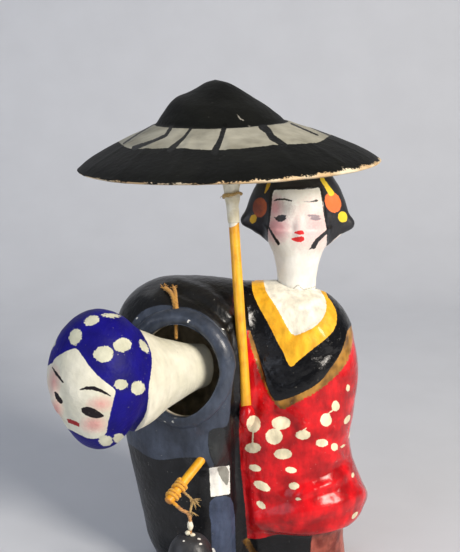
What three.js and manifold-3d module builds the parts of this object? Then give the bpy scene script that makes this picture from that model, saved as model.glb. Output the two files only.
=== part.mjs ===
// A papier-mache couple sharing an umbrella: a bowed man whose head nods on a string in the neck hole of
// his robe, a lady upright behind his shoulder, and a small lantern on a stick. Both robes are one moulded
// hollow shell. Millimetres, +Z up, the viewer looks along +Y, and the origin is on the flat underside.
import * as THREE from "three";
import { mergeVertices } from "three/addons/utils/BufferGeometryUtils.js";
import Module from "manifold-3d";

const wasm = await Module();
wasm.setup();

const FIT = 0.3; // clearance between pieces that touch
const TAU = 2 * Math.PI;

// The shared robe shell
const BODY_WALL = 2.6;
const BODY_SPINE_TOP = 86; // below this height the skin is found along level rays, above it along a fan
const BODY_SPINE = [0, -1];
const HEM_HEIGHT = 20;
const LOBE_BLEND = 7;
const MAN_TOP = 122;
const LADY_TOP = 119;
// Each lobe is a stack of ellipses: height, centre x, centre y, half width x, half depth y
const MAN_SECTIONS = [
  [0, -13, -1, 20, 19],
  [10, -17, 0, 21.5, 20],
  [20, -18, 0, 22.5, 20.5],
  [40, -20, 1, 24.5, 21.5],
  [60, -21.5, 3, 26.5, 22.5],
  [80, -22.5, 4, 27.5, 23.5],
  [98, -22, 4, 28.5, 23],
];
const LADY_SECTIONS = [
  [0, 24, 1, 21.5, 16],
  [15, 24, 1, 20.5, 16.5],
  [HEM_HEIGHT - 1.5, 25, 0.5, 21, 17.5],
  [HEM_HEIGHT + 1.5, 26.5, 0, 24.5, 21.5],
  [30, 27.5, 0, 25.6, 22.5],
  [42, 25.5, 0, 23.2, 21.5],
  [54, 23.5, 0, 22.2, 20.5],
  [68, 24, 0, 23.2, 20.5],
  [84, 24.5, 1, 24, 20.5],
  [96, 24, 2, 23.2, 20],
];
const MAN_DOME = { start: 98, power: 2.5 };
const LADY_DOME = { start: 90, power: 2.1 };
const CHEST = { centre: [-13, -9, 84], half: [19.5, 19.5, 34] };
const YOKE = { from: [-27, 3, 105], to: [13, 4, 104.5], radius: 16 };
const LAP = { centre: [-14, -4, 30], half: [17, 19, 34] };

// The neck hole, its raised collar, and the nodding head
const HOLE_RADIUS = 18;
const HOLE_CENTRE = [-25, -24.5, 93];
const HOLE_FACING = [-0.6, -0.8, 0.08];
const COLLAR_WIDTH = 7;
const COLLAR_RISE = 1.8;
const HOLE_CUT = { outwards: 25, inwards: 16 }; // the cut through the shell, from the hole's centre
const HEAD_CENTRE = [-52, -41, 95];
const HEAD_HALF = [19.5, 19, 26.5];
const HEAD_FACING = [-0.77, -0.63, 0.04];
const HEAD_WALL = 2.4;
const NOSE_LENGTH = 2.2;
const NECK_WAY = [0.79, 0.605, -0.1];
const NECK_LENGTH = 47;
const NECK_SLIMNESS = 0.8; // the neck's width over its height
// Distance from the middle of the head along the neck, and the neck's radius there
const NECK_RADII = [
  [12, 20],
  [19, 18],
  [26, 14.6],
  [33, 12.2],
  [40, 10],
  [NECK_LENGTH, 8.7],
];
const CORD_PLACE = [-25, -16]; // where the string hangs, seen from above
const HEAD_CORD_DIAMETER = 1.5;
const KNOT_RADIUS = 2.2;

// The lady's head
const LADY_X = 23.1;
const LADY_NECK = { y: 5, radius: 7.8, bottom: 111 };
const LADY_HAIR = { centre: [LADY_X, 9, 150.5], half: [17, 13, 14.5] };
const LADY_FACE = { centre: [LADY_X, 1.5, 148], half: [12.2, 9.5, 14.5] };
const WING_TIPS = [
  [2.6, 9, 144.6],
  [43.6, 9, 143.6],
];
const WING_TIP_RADIUS = 1.6;
const HAIR_CORNERS = [
  [12.6, 9, 152],
  [34.4, 9, 153],
];
const HAIR_CORNER_RADIUS = 9.6;
const WING_ROOT_RADIUS = 10.5;

// The umbrella
const POLE_DIAMETER = 4;
const POLE_FOOT = [2.2, -20.6, 78];
const POLE_SUNK = 6; // how far the pole runs on into its mound
const POLE_HEAD = [-3.8, -8, 166];
const MOUND_HALF = [4.6, 4.6, 8.5];
const CANOPY_PEAK = [-9.6, -6];
const CANOPY_CENTRE = [-4.85, -6];
const CANOPY_RADIUS = 57.8;
const CANOPY_RIM_HEIGHT = 169.5;
const CANOPY_LEAN = [0.031, -0.03]; // rise of the rim plane per millimetre of x and of y
const CANOPY_WALL = 2;
const CANOPY_RIM_WAVE = 0.6;
// Share of the way from the peak to the rim, and the height above the rim
const CANOPY_PROFILE = [
  [0, 32],
  [0.07, 31],
  [0.14, 28.7],
  [0.24, 24.6],
  [0.33, 20.9],
  [0.4, 17.2],
  [0.47, 15.2],
  [0.6, 12.2],
  [0.77, 8],
  [0.92, 3.6],
  [1, 0.4],
];
const PASTE_COLLAR = { length: 16, top: 4.4, bottom: POLE_DIAMETER / 2 + 0.9, bead: 3.5 };

// The lantern, its stick and its twine
const STICK_DIAMETER = 3.5;
const STICK_ROOT = [-11.2, -20.8, 59.4];
const STICK_TIP = [-27.6, -41, 45.8];
const TWINE_DIAMETER = 1.4;
const WINDING_TURNS = 2;
const WINDINGS = [3.4, 8.4]; // distance of each winding from the stick's tip
const LANTERN = { x: -19.3, y: -40, top: 31.2, radius: 9.2, height: 24, squareness: 0.68 };
const LANTERN_DENT = 0.9;

// Vectors and blends

const add = (a, b, k = 1) => a.map((v, i) => v + k * b[i]);
const dot = (a, b) => a.reduce((sum, v, i) => sum + v * b[i], 0);
const length = (a) => Math.hypot(...a);
const unit = (a) => a.map((v) => v / length(a));
const cross = (a, b) => [a[1] * b[2] - a[2] * b[1], a[2] * b[0] - a[0] * b[2], a[0] * b[1] - a[1] * b[0]];
const clamp = (v, low, high) => Math.min(high, Math.max(low, v));

// Two directions square to a given one
function squareTo(way) {
  const helper = Math.abs(way[2]) > 0.9 ? [1, 0, 0] : [0, 0, 1];
  const side = unit(cross(helper, way));
  return [side, cross(way, side)];
}

function smoothMin(a, b, width) {
  const h = Math.max(width - Math.abs(a - b), 0) / width;
  return Math.min(a, b) - (h * h * width) / 4;
}

// Smooth value of every column of a table at a place in its first column
function readTable(rows, at) {
  const last = rows.length - 1;
  const x = clamp(at, rows[0][0], rows[last][0]);
  let i = 0;
  while (i < last - 1 && x > rows[i + 1][0]) i += 1;
  const span = rows[i + 1][0] - rows[i][0];
  const t = (x - rows[i][0]) / span;
  const slope = (k, c) => {
    const before = rows[Math.max(k - 1, 0)];
    const after = rows[Math.min(k + 1, last)];
    return ((after[c] - before[c]) / (after[0] - before[0])) * span;
  };
  return rows[i].slice(1).map((value, n) => {
    const c = n + 1;
    const rise = rows[i + 1][c] - value;
    const m0 = slope(i, c);
    const m1 = slope(i + 1, c);
    return value + t * m0 + t * t * (3 * rise - 2 * m0 - m1) + t * t * t * (m0 + m1 - 2 * rise);
  });
}

// Distances, negative inside

function ellipsoid(p, { centre, half }) {
  const q = p.map((v, i) => (v - centre[i]) / half[i]);
  const near = length(q);
  const steep = length(q.map((v, i) => v / half[i]));
  return steep < 1e-9 ? -Math.min(...half) : (near * (near - 1)) / steep;
}

function taperedRod(p, from, to, radiusFrom, radiusTo) {
  const along = add(to, from, -1);
  const t = clamp(dot(add(p, from, -1), along) / dot(along, along), 0, 1);
  return length(add(p, add(from, along, t), -1)) - (radiusFrom + (radiusTo - radiusFrom) * t);
}

// A stack of ellipses under a rounded top
function lobe(p, sections, top, dome) {
  const [cx, cy, halfX, halfY] = readTable(sections, p[2]);
  const up = clamp((p[2] - dome.start) / (top - dome.start), 0, 1);
  const shrink = Math.max((1 - up ** dome.power) ** (1 / dome.power), 0.001);
  const round = ellipsoid([p[0], p[1], 0], {
    centre: [cx, cy, 0],
    half: [halfX * shrink, halfY * shrink, 1],
  });
  return p[2] > top ? Math.max(round, p[2] - top) : round;
}

const poleWay = unit(add(POLE_HEAD, POLE_FOOT, -1));
const poleEnd = add(POLE_FOOT, poleWay, -POLE_SUNK);

function bodyField(p) {
  const man = lobe(p, MAN_SECTIONS, MAN_TOP, MAN_DOME);
  const lady = lobe(p, LADY_SECTIONS, LADY_TOP, LADY_DOME);
  const yoke = taperedRod(p, YOKE.from, YOKE.to, YOKE.radius, YOKE.radius);
  const bowed = smoothMin(smoothMin(man, ellipsoid(p, CHEST), LOBE_BLEND), ellipsoid(p, LAP), LOBE_BLEND);
  return smoothMin(smoothMin(bowed, lady, LOBE_BLEND), yoke, LOBE_BLEND);
}

const headFacing = unit(HEAD_FACING);
const [headSide] = squareTo(headFacing);
const neckWay = unit(NECK_WAY);
const neckSide = unit(cross([0, 0, 1], neckWay));

function headField(p) {
  const q = add(p, HEAD_CENTRE, -1);
  const own = [dot(q, headSide), dot(q, headFacing), q[2] - headFacing[2] * dot(q, headFacing)];
  const skull = ellipsoid(own, { centre: [0, 0, 0], half: HEAD_HALF });
  const nose = ellipsoid(own, { centre: [0, HEAD_HALF[1] - 1, -4.5], half: [2.4, NOSE_LENGTH, 5] });
  const along = dot(q, neckWay);
  const [radius] = readTable(NECK_RADII, along);
  const across = add(q, neckWay, -along);
  const sideways = dot(across, neckSide);
  const stretched = add(across, neckSide, sideways / NECK_SLIMNESS - sideways);
  const cone = Math.max(length(stretched) - radius, NECK_RADII[0][0] - along);
  return smoothMin(smoothMin(skull, cone, 4), nose, 3);
}

function ladyField(p) {
  const neckFoot = [LADY_X, LADY_NECK.y, LADY_NECK.bottom - 5];
  const chin = [LADY_X, LADY_NECK.y - 1, LADY_FACE.centre[2] - 7];
  const neck = taperedRod(p, neckFoot, chin, LADY_NECK.radius, LADY_NECK.radius - 0.4);
  const face = ellipsoid(p, LADY_FACE);
  const nose = ellipsoid(p, {
    centre: [LADY_X, LADY_FACE.centre[1] - LADY_FACE.half[1] + 0.8, LADY_FACE.centre[2] - 3],
    half: [1.7, 1.8, 4],
  });
  const wings = WING_TIPS.map((tip) => {
    const root = [LADY_X + Math.sign(tip[0] - LADY_X) * 6, LADY_HAIR.centre[1], LADY_HAIR.centre[2] - 1];
    return taperedRod(p, root, tip, WING_ROOT_RADIUS, WING_TIP_RADIUS);
  });
  const corners = HAIR_CORNERS.map((centre) => length(add(p, centre, -1)) - HAIR_CORNER_RADIUS);
  const hair = [...wings, ...corners].reduce((sum, one) => smoothMin(sum, one, 5), ellipsoid(p, LADY_HAIR));
  return smoothMin(smoothMin(smoothMin(hair, face, 1.5), neck, 5), nose, 2);
}

// Surfaces on a grid

// A closed surface of rings: at(row, turn) gives a point, turn runs from 0 to 1 round each ring, and the
// first and last rings are closed by one point each
function ringSurface(rows, columns, at, ends) {
  const points = [];
  const faces = [];
  for (let r = 0; r < rows; r += 1) {
    for (let c = 0; c < columns; c += 1) points.push(at(r, c / columns));
  }
  for (let r = 0; r < rows - 1; r += 1) {
    for (let c = 0; c < columns; c += 1) {
      const next = (c + 1) % columns;
      const [a, b] = [r * columns + c, r * columns + next];
      faces.push(a, b, b + columns, a, b + columns, a + columns);
    }
  }
  const [first, last] = [points.length, points.length + 1];
  points.push(ends[0], ends[1]);
  const lastRow = (rows - 1) * columns;
  for (let c = 0; c < columns; c += 1) {
    const next = (c + 1) % columns;
    faces.push(first, next, c);
    faces.push(last, lastRow + c, lastRow + next);
  }
  return closedGeometry(points, faces);
}

// A surface closed both ways, such as a ring
function hoopSurface(rows, columns, at) {
  const points = [];
  const faces = [];
  for (let r = 0; r < rows; r += 1) {
    for (let c = 0; c < columns; c += 1) points.push(at(r / rows, c / columns));
  }
  for (let r = 0; r < rows; r += 1) {
    for (let c = 0; c < columns; c += 1) {
      const [row, nextRow] = [r * columns, ((r + 1) % rows) * columns];
      const next = (c + 1) % columns;
      faces.push(row + c, row + next, nextRow + next, row + c, nextRow + next, nextRow + c);
    }
  }
  return closedGeometry(points, faces);
}

function closedGeometry(points, faces) {
  const geometry = new THREE.BufferGeometry();
  geometry.setAttribute("position", new THREE.Float32BufferAttribute(points.flat(), 3));
  geometry.setIndex(faces);
  return geometry;
}

// How far from a point, going a given way, the field's outermost surface is
function reach(field, from, way, farthest) {
  const step = 1.5;
  let outside = farthest;
  while (outside > step && field(add(from, way, outside - step)) > 0) outside -= step;
  let inside = Math.max(outside - step, 0);
  for (let i = 0; i < 14; i += 1) {
    const middle = (outside + inside) / 2;
    if (field(add(from, way, middle)) > 0) outside = middle;
    else inside = middle;
  }
  return (outside + inside) / 2;
}

// The way a field's surface faces at a point
function facingAt(field, p) {
  const slope = [0, 1, 2].map((i) => {
    const nudge = [0, 1, 2].map((k) => (k === i ? 0.2 : 0));
    return field(add(p, nudge)) - field(add(p, nudge, -1));
  });
  return unit(slope);
}

// The skin of a field round a straight spine: level rings along the spine, then a fan over its far end.
// inset moves the skin inwards by a wall, measured square to the skin.
function skin(field, { foot, way, stations, fan, columns, farthest, inset = 0 }) {
  const [side, other] = squareTo(way);
  const tip = stations[stations.length - 1];
  const ray = (row, turn) => {
    const level = row < stations.length;
    const lift = level ? 0 : ((row - stations.length + 1) / fan) * (Math.PI / 2);
    const across = add(side.map((v) => v * Math.cos(turn * TAU)), other, Math.sin(turn * TAU));
    return {
      from: add(foot, way, level ? stations[row] : tip),
      aim: add(across.map((v) => v * Math.cos(lift)), way, Math.sin(lift)),
    };
  };
  const at = ({ from, aim }) => {
    let out = reach(field, from, aim, farthest);
    if (inset > 0) {
      const facing = clamp(dot(facingAt(field, add(from, aim, out)), aim), 0.6, 1);
      out = Math.max(out - inset / facing, 0.5);
    }
    return add(from, aim, out);
  };
  const rows = stations.length + fan - 1;
  const top = at({ from: add(foot, way, tip), aim: way });
  return ringSurface(rows, columns, (row, turn) => at(ray(row, turn)), [add(foot, way, stations[0]), top]);
}

// Solids

function solidFrom(geometry) {
  const plain = new THREE.BufferGeometry();
  const loose = geometry.index ? geometry.toNonIndexed() : geometry;
  plain.setAttribute("position", loose.getAttribute("position"));
  const merged = mergeVertices(plain, 1e-4);
  const mesh = new wasm.Mesh({
    numProp: 3,
    vertProperties: new Float32Array(merged.attributes.position.array),
    triVerts: new Uint32Array(merged.index.array),
  });
  return new wasm.Manifold(mesh);
}

function geometryFrom(solid) {
  const mesh = solid.getMesh();
  const geometry = new THREE.BufferGeometry();
  const positions = new Float32Array(mesh.numVert * 3);
  for (let i = 0; i < mesh.numVert; i += 1) {
    positions.set(mesh.vertProperties.subarray(i * mesh.numProp, i * mesh.numProp + 3), i * 3);
  }
  geometry.setAttribute("position", new THREE.BufferAttribute(positions, 3));
  geometry.setIndex(new THREE.BufferAttribute(new Uint32Array(mesh.triVerts), 1));
  return geometry.toNonIndexed();
}

// The turn that lays a shape's y axis along a direction
function turnTo(way) {
  const aim = new THREE.Vector3(...way).normalize();
  return new THREE.Quaternion().setFromUnitVectors(new THREE.Vector3(0, 1, 0), aim);
}

// A round rod between two points, its two radii given
function rod(from, to, radius, radiusTo = radius, sides = 16) {
  const along = new THREE.Vector3(...add(to, from, -1));
  const geometry = new THREE.CylinderGeometry(radiusTo, radius, along.length(), sides);
  geometry.applyQuaternion(turnTo(along.toArray()));
  return geometry.translate(...add(from, add(to, from, -1), 0.5));
}

function ball(centre, radius, sides = 12) {
  return new THREE.SphereGeometry(radius, sides, sides / 2).translate(...centre);
}

// A cord's tube along a smooth curve through hand-chosen points
function tube(points, diameter, sides = 8) {
  const curve = new THREE.CatmullRomCurve3(points.map((p) => new THREE.Vector3(...p)));
  const section = new THREE.Shape(
    Array.from({ length: sides }, (_, i) => {
      const angle = (i / sides) * TAU;
      return new THREE.Vector2((Math.cos(angle) * diameter) / 2, (Math.sin(angle) * diameter) / 2);
    }),
  );
  const steps = Math.max(4, Math.ceil(curve.getLength() / (2 * diameter)));
  return new THREE.ExtrudeGeometry(section, { steps, extrudePath: curve, bevelEnabled: false });
}

// Places worked out from the sizes above

const underCord = [...CORD_PLACE, HEAD_CENTRE[2]];
const UP = [0, 0, 1];
const neckTop = reach(headField, underCord, UP, HEAD_HALF[0]);
const cordFoot = add(underCord, UP, neckTop + FIT + HEAD_CORD_DIAMETER / 2);
const overCord = MAN_TOP - cordFoot[2] + LOBE_BLEND;
const cordExit = add(cordFoot, UP, reach(bodyField, cordFoot, UP, overCord));
const knotCentre = add(cordExit, facingAt(bodyField, cordExit), KNOT_RADIUS + COLLAR_RISE + FIT);

// Pieces

function coupleBody() {
  const along = (from, to, count) => Array.from({ length: count }, (_, i) => from + ((to - from) * i) / count);
  const stations = [
    ...along(0, HEM_HEIGHT - 2, 3),
    HEM_HEIGHT - 2,
    HEM_HEIGHT,
    HEM_HEIGHT + 2,
    ...along(HEM_HEIGHT + 6, BODY_SPINE_TOP, 9),
    BODY_SPINE_TOP,
  ];
  const foot = [...BODY_SPINE, 0];
  const shared = { foot, way: UP, farthest: BODY_SPINE_TOP };
  const shell = solidFrom(skin(bodyField, { ...shared, stations, fan: 11, columns: 52 }));
  const mound = new THREE.SphereGeometry(1, 16, 10).scale(...MOUND_HALF);
  const outer = shell.add(solidFrom(mound.translate(...add(poleEnd, poleWay, POLE_SUNK / 2))));
  const inner = solidFrom(
    skin(bodyField, {
      ...shared,
      stations: along(BODY_WALL, BODY_SPINE_TOP, 7).concat(BODY_SPINE_TOP),
      fan: 6,
      columns: 30,
      inset: BODY_WALL,
    }),
  );
  const facing = unit(HOLE_FACING);
  const [across, upward] = squareTo(facing);
  const onShell = (turn, radius) => {
    const beside = add(HOLE_CENTRE, across, radius * Math.cos(turn * TAU));
    const start = add(beside, upward, radius * Math.sin(turn * TAU));
    const far = HOLE_RADIUS + CHEST.half[0] / 2;
    const out = reach(bodyField, add(start, facing, -far), facing, 2 * far);
    return add(start, facing, out - far);
  };
  const collar = solidFrom(
    hoopSurface(40, 6, (turn, round) => {
      const middle = onShell(turn, HOLE_RADIUS + COLLAR_WIDTH / 2);
      const outward = add(across.map((v) => v * Math.cos(turn * TAU)), upward, Math.sin(turn * TAU));
      const wide = (COLLAR_WIDTH / 2) * Math.cos(round * TAU);
      const high = -COLLAR_RISE * Math.sin(round * TAU);
      return add(add(middle, outward, wide), facing, high);
    }),
  );
  const holeStart = add(HOLE_CENTRE, facing, HOLE_CUT.outwards);
  const holeEnd = add(HOLE_CENTRE, facing, -HOLE_CUT.inwards);
  const hole = solidFrom(rod(holeStart, holeEnd, HOLE_RADIUS, HOLE_RADIUS, 40));
  const neckSocket = solidFrom(
    rod(
      [LADY_X, LADY_NECK.y, LADY_NECK.bottom - 4],
      [LADY_X, LADY_NECK.y, LADY_TOP + 20],
      LADY_NECK.radius + FIT,
      LADY_NECK.radius + FIT,
      32,
    ),
  );
  const poleSocket = solidFrom(rod(add(poleEnd, poleWay, -FIT), POLE_HEAD, POLE_DIAMETER / 2 + FIT));
  const stickSocket = solidFrom(rod(add(STICK_ROOT, stickWay, -FIT), STICK_TIP, STICK_DIAMETER / 2 + FIT));
  const cordHole = solidFrom(
    rod(cordFoot, knotCentre, HEAD_CORD_DIAMETER / 2 + FIT, HEAD_CORD_DIAMETER / 2 + FIT, 12),
  );
  const hollowed = outer.add(collar).subtract(inner);
  return geometryFrom(
    hollowed.subtract(hole).subtract(neckSocket).subtract(poleSocket).subtract(stickSocket).subtract(cordHole),
  );
}

function nodHead() {
  const foot = add(HEAD_CENTRE, neckWay, NECK_LENGTH);
  const way = neckWay.map((v) => -v);
  const stationsTo = (start, count) =>
    Array.from({ length: count + 1 }, (_, i) => start + ((NECK_LENGTH - start) * i) / count);
  const shared = { foot, way, farthest: NECK_LENGTH };
  const outer = solidFrom(skin(headField, { ...shared, stations: stationsTo(0, 9), fan: 10, columns: 32 }));
  const inner = solidFrom(
    skin(headField, { ...shared, stations: stationsTo(0, 5), fan: 5, columns: 20, inset: HEAD_WALL }),
  );
  const mouth = solidFrom(
    rod(add(foot, way, 1), add(foot, way, -2), NECK_RADII[NECK_RADII.length - 1][1] - HEAD_WALL),
  );
  return geometryFrom(outer.subtract(inner).subtract(mouth));
}

function headCord() {
  const line = solidFrom(rod(cordFoot, knotCentre, HEAD_CORD_DIAMETER / 2, HEAD_CORD_DIAMETER / 2, 8));
  return geometryFrom(line.add(solidFrom(ball(knotCentre, KNOT_RADIUS))));
}

function ladyHead() {
  const rise = LADY_HAIR.centre[2] - LADY_NECK.bottom;
  const stations = Array.from({ length: 12 }, (_, i) => (rise * i) / 11);
  return skin(ladyField, {
    foot: [LADY_X, LADY_NECK.y, LADY_NECK.bottom],
    way: [0, 0, 1],
    stations,
    fan: 8,
    columns: 36,
    farthest: 2 * LADY_HAIR.half[0],
  });
}

// The canopy's upper surface at a share of the way out and a turn round it
function canopyPoint(share, turn) {
  const wave = CANOPY_RIM_WAVE * Math.sin(turn * TAU * 3 + 1) * share ** 4;
  const radius = (CANOPY_RADIUS + wave) * share;
  const centre = add(CANOPY_PEAK, add(CANOPY_CENTRE, CANOPY_PEAK, -1), share);
  const x = centre[0] + radius * Math.cos(turn * TAU);
  const y = centre[1] + radius * Math.sin(turn * TAU);
  const lean = CANOPY_LEAN[0] * (x - CANOPY_PEAK[0]) + CANOPY_LEAN[1] * (y - CANOPY_PEAK[1]);
  return [x, y, CANOPY_RIM_HEIGHT + lean + readTable(CANOPY_PROFILE, share)[0]];
}

function umbrellaCanopy() {
  const columns = 44;
  const shares = CANOPY_PROFILE.slice(1).map(([share]) => share).reverse();
  // Rings from the middle of the underside out to the rim, then up over the top to the peak
  const under = [...shares].reverse().filter((share) => share < 0.99);
  const rimShare = (CANOPY_RADIUS - CANOPY_WALL / 2) / CANOPY_RADIUS;
  const below = (share, turn) => {
    const steep = 1 + 0.9 * Math.exp(-(((share - 0.3) / 0.2) ** 2));
    return add(canopyPoint(share, turn), [0, 0, -CANOPY_WALL * steep]);
  };
  const rings = [
    ...under.map((share) => (turn) => below(share, turn)),
    (turn) => add(canopyPoint(rimShare, turn), [0, 0, -CANOPY_WALL]),
    ...shares.map((share) => (turn) => canopyPoint(share, turn)),
  ];
  const ends = [below(0, 0), canopyPoint(0, 0)];
  return ringSurface(rings.length, columns, (row, turn) => rings[row](turn), ends);
}

// Height of the canopy's underside over the pole's head
const poleRoof = (() => {
  const share = length(add(POLE_HEAD.slice(0, 2), CANOPY_PEAK, -1)) / CANOPY_RADIUS;
  return canopyPoint(share, 0)[2] - CANOPY_WALL * 2;
})();

function poleTop() {
  const rise = (poleRoof - FIT - 1 - POLE_HEAD[2]) / poleWay[2];
  return add(POLE_HEAD, poleWay, rise);
}

function umbrellaPole() {
  return rod(poleEnd, poleTop(), POLE_DIAMETER / 2);
}

function pasteCollar() {
  const { length: long, top, bottom, bead } = PASTE_COLLAR;
  const bore = POLE_DIAMETER / 2 + FIT;
  const profile = [
    [bore, 0],
    [bottom, 0.4],
    [bottom + 0.1, long * 0.55],
    [bead, long * 0.66],
    [bead + 0.2, long * 0.74],
    [bead - 0.1, long * 0.8],
    [top, long],
    [bore, long],
    [bore, 0],
  ].map(([r, h]) => new THREE.Vector2(r, h));
  const geometry = new THREE.LatheGeometry(profile, 18);
  geometry.applyQuaternion(turnTo(poleWay));
  return geometry.translate(...add(POLE_HEAD, poleWay, -long + 1.5));
}

const stickWay = unit(add(STICK_TIP, STICK_ROOT, -1));

function lanternStick() {
  return rod(STICK_ROOT, STICK_TIP, STICK_DIAMETER / 2);
}

function winding(fromTip) {
  const bore = STICK_DIAMETER / 2 + FIT;
  const half = (WINDING_TURNS * TWINE_DIAMETER) / 2;
  const section = [
    [bore, -half],
    [bore + TWINE_DIAMETER, -half],
    [bore + TWINE_DIAMETER, half],
    [bore, half],
    [bore, -half],
  ].map(([r, h]) => new THREE.Vector2(r, h));
  const geometry = new THREE.LatheGeometry(section, 16);
  geometry.applyQuaternion(turnTo(stickWay));
  return geometry.translate(...add(STICK_TIP, stickWay, -fromTip));
}

// The twine leaves the winding at the tip, crosses under the stick and hangs to the lantern
function lanternTwine() {
  const leave = add(STICK_TIP, stickWay, -WINDINGS[0]);
  const low = STICK_DIAMETER / 2 + FIT + TWINE_DIAMETER + FIT + TWINE_DIAMETER / 2;
  const drop = LANTERN.top + FIT;
  const points = [
    add(leave, [0.6, 0.2, -low - 0.2]),
    [LANTERN.x - 3.2, LANTERN.y - 0.8, leave[2] - low - 0.6],
    [LANTERN.x - 0.9, LANTERN.y - 0.3, leave[2] - low - 2.2],
    [LANTERN.x, LANTERN.y, leave[2] - low - 5],
    [LANTERN.x, LANTERN.y, (leave[2] - low - 5 + drop) / 2],
    [LANTERN.x, LANTERN.y, drop],
  ];
  return tube(points, TWINE_DIAMETER);
}

// A round-shouldered ball with a faint dent down its front and back
function lantern() {
  const { x, y, top, radius, height, squareness } = LANTERN;
  const rows = 13;
  const at = (row, turn) => {
    const tilt = (Math.PI * (row + 1)) / (rows + 1);
    const bulge = Math.sin(tilt) ** squareness;
    const r = bulge * (radius - LANTERN_DENT * Math.abs(Math.sin(turn * TAU)) ** 8);
    const below = (height * (1 + Math.cos(tilt))) / 2;
    return [x + r * Math.cos(turn * TAU), y + r * Math.sin(turn * TAU), top - below];
  };
  return ringSurface(rows, 28, at, [[x, y, top - height], [x, y, top]]);
}

const FINISHES = {
  robe: { color: 0x2a2c33, roughness: 0.45, metalness: 0 },
  scarf: { color: 0x0e0478, roughness: 0.5, metalness: 0 },
  cream: { color: 0xf4f3ec, roughness: 0.7, metalness: 0 },
  black: { color: 0x111210, roughness: 0.4, metalness: 0 },
  yellow: { color: 0xf0b52a, roughness: 0.5, metalness: 0 },
  twine: { color: 0xb97a35, roughness: 0.9, metalness: 0 },
};

const PIECES = [
  ["couple_body", coupleBody(), "robe"],
  ["bowing_head", nodHead(), "scarf"],
  ["head_cord", headCord(), "twine"],
  ["lady_head", ladyHead(), "cream"],
  ["umbrella_canopy", umbrellaCanopy(), "black"],
  ["umbrella_pole", umbrellaPole(), "yellow"],
  ["umbrella_collar", pasteCollar(), "cream"],
  ["lantern_stick", lanternStick(), "yellow"],
  ["twine_winding_lower", winding(WINDINGS[0]), "yellow"],
  ["twine_winding_upper", winding(WINDINGS[1]), "yellow"],
  ["lantern_twine", lanternTwine(), "twine"],
  ["lantern", lantern(), "black"],
];

const figure = new THREE.Group();
PIECES.forEach(([name, geometry, finish]) => {
  const material = new THREE.MeshStandardMaterial(FINISHES[finish]);
  const mesh = new THREE.Mesh(geometry, material);
  mesh.name = name;
  figure.add(mesh);
});

export default figure;
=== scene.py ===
"""Looks of a papier-mache couple under one umbrella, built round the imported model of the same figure.

Sizes are in millimetres and turned into metres when a mesh is made. +Z is up and -Y is the side that the faces look
to. The painted areas are carried by each mesh as distances to their brush edges, so that an edge stays crisp.
"""

from __future__ import annotations

import logging
import math
from dataclasses import dataclass, replace
from enum import Enum
from typing import Callable, Optional, Sequence

import bmesh
import bpy
import numpy as np
from mathutils import Matrix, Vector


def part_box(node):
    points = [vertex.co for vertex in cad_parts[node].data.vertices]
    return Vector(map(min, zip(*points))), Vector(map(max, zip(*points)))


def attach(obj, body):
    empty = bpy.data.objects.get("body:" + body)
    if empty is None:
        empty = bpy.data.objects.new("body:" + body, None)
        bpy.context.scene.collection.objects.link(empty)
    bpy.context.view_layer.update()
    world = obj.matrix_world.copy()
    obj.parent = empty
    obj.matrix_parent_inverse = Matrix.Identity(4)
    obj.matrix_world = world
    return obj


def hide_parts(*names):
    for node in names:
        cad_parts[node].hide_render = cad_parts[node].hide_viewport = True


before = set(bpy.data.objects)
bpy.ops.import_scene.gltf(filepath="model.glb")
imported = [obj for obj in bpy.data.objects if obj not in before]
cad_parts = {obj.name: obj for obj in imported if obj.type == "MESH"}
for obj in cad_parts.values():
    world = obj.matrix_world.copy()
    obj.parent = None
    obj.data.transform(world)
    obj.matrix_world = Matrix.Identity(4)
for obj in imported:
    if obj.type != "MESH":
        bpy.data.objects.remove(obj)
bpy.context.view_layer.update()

MM = 0.001
TAU = 2 * math.pi
LOG = logging.getLogger("couple")
Array = np.ndarray
Field = Callable[[Array], Array]
Point = Sequence[float]
Socket = bpy.types.NodeSocket
UP = (0, 0, 1.0)
FAR = 1e9
TINY = 1e-6
# Points nearer than this lie on one another, in metres
MERGE_M = 2e-7
# How often the last step of a ray is halved
HALVINGS = 12
# Far outside any paint, in mm
BARE = -3
GOLDEN_ANGLE = 2.39996
GOLDEN_SHARE = 0.618
SHARP_EDGE_DEG = 52


class Body(Enum):
    """The bodies that a piece can ride on."""

    FIGURE = "figure"
    HEAD = "nodding_head"


# Vectors, paths and noise


def unit(v: Array | Point) -> Array:
    """Give a vector, or rows of vectors, the length one.

    Args:
        v: one vector or an array of them.

    Returns:
        The same directions at length one.
    """
    v = np.asarray(v, dtype=float)
    return v / np.maximum(np.linalg.norm(v, axis=-1, keepdims=True), 1e-12)


def turns(columns: int) -> Array:
    """Angles spread evenly round a full turn, in radians."""
    return np.arange(columns) / columns * TAU


def across(way: Array, up: Optional[Point] = UP) -> tuple[Array, Array]:
    """Two directions square to a line and to each other.

    Args:
        way: the line's direction.
        up: what the first one is square to as well; if None, whichever axis lies well away from the line.

    Returns:
        Both directions; they and the line are right-handed.
    """
    if up is None:
        up = (1.0, 0, 0) if abs(way[2]) > 0.9 else UP
    side = unit(np.cross(up, way))
    return side, np.cross(way, side)


def circle(turn: Array, side: Array, other: Array) -> Array:
    """Directions at given angles round a line, from the two directions square to it."""
    return np.cos(turn)[:, None] * side + np.sin(turn)[:, None] * other


def lengths(path: Array) -> Array:
    """How far along a path each of its points lies."""
    return np.concatenate([[0], np.cumsum(np.linalg.norm(np.diff(path, axis=0), axis=1))])


def smooth_min(a: Array, b: Array, width: float) -> Array:
    """Join two distances softly: the lesser one, less a quarter of a squared overlap within the width.

    Args:
        a: first distance.
        b: second distance.
        width: how wide the blend is, in mm.

    Returns:
        The blended distance.
    """
    h = np.maximum(width - np.abs(a - b), 0) / width
    return np.minimum(a, b) - h * h * width / 4


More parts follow.
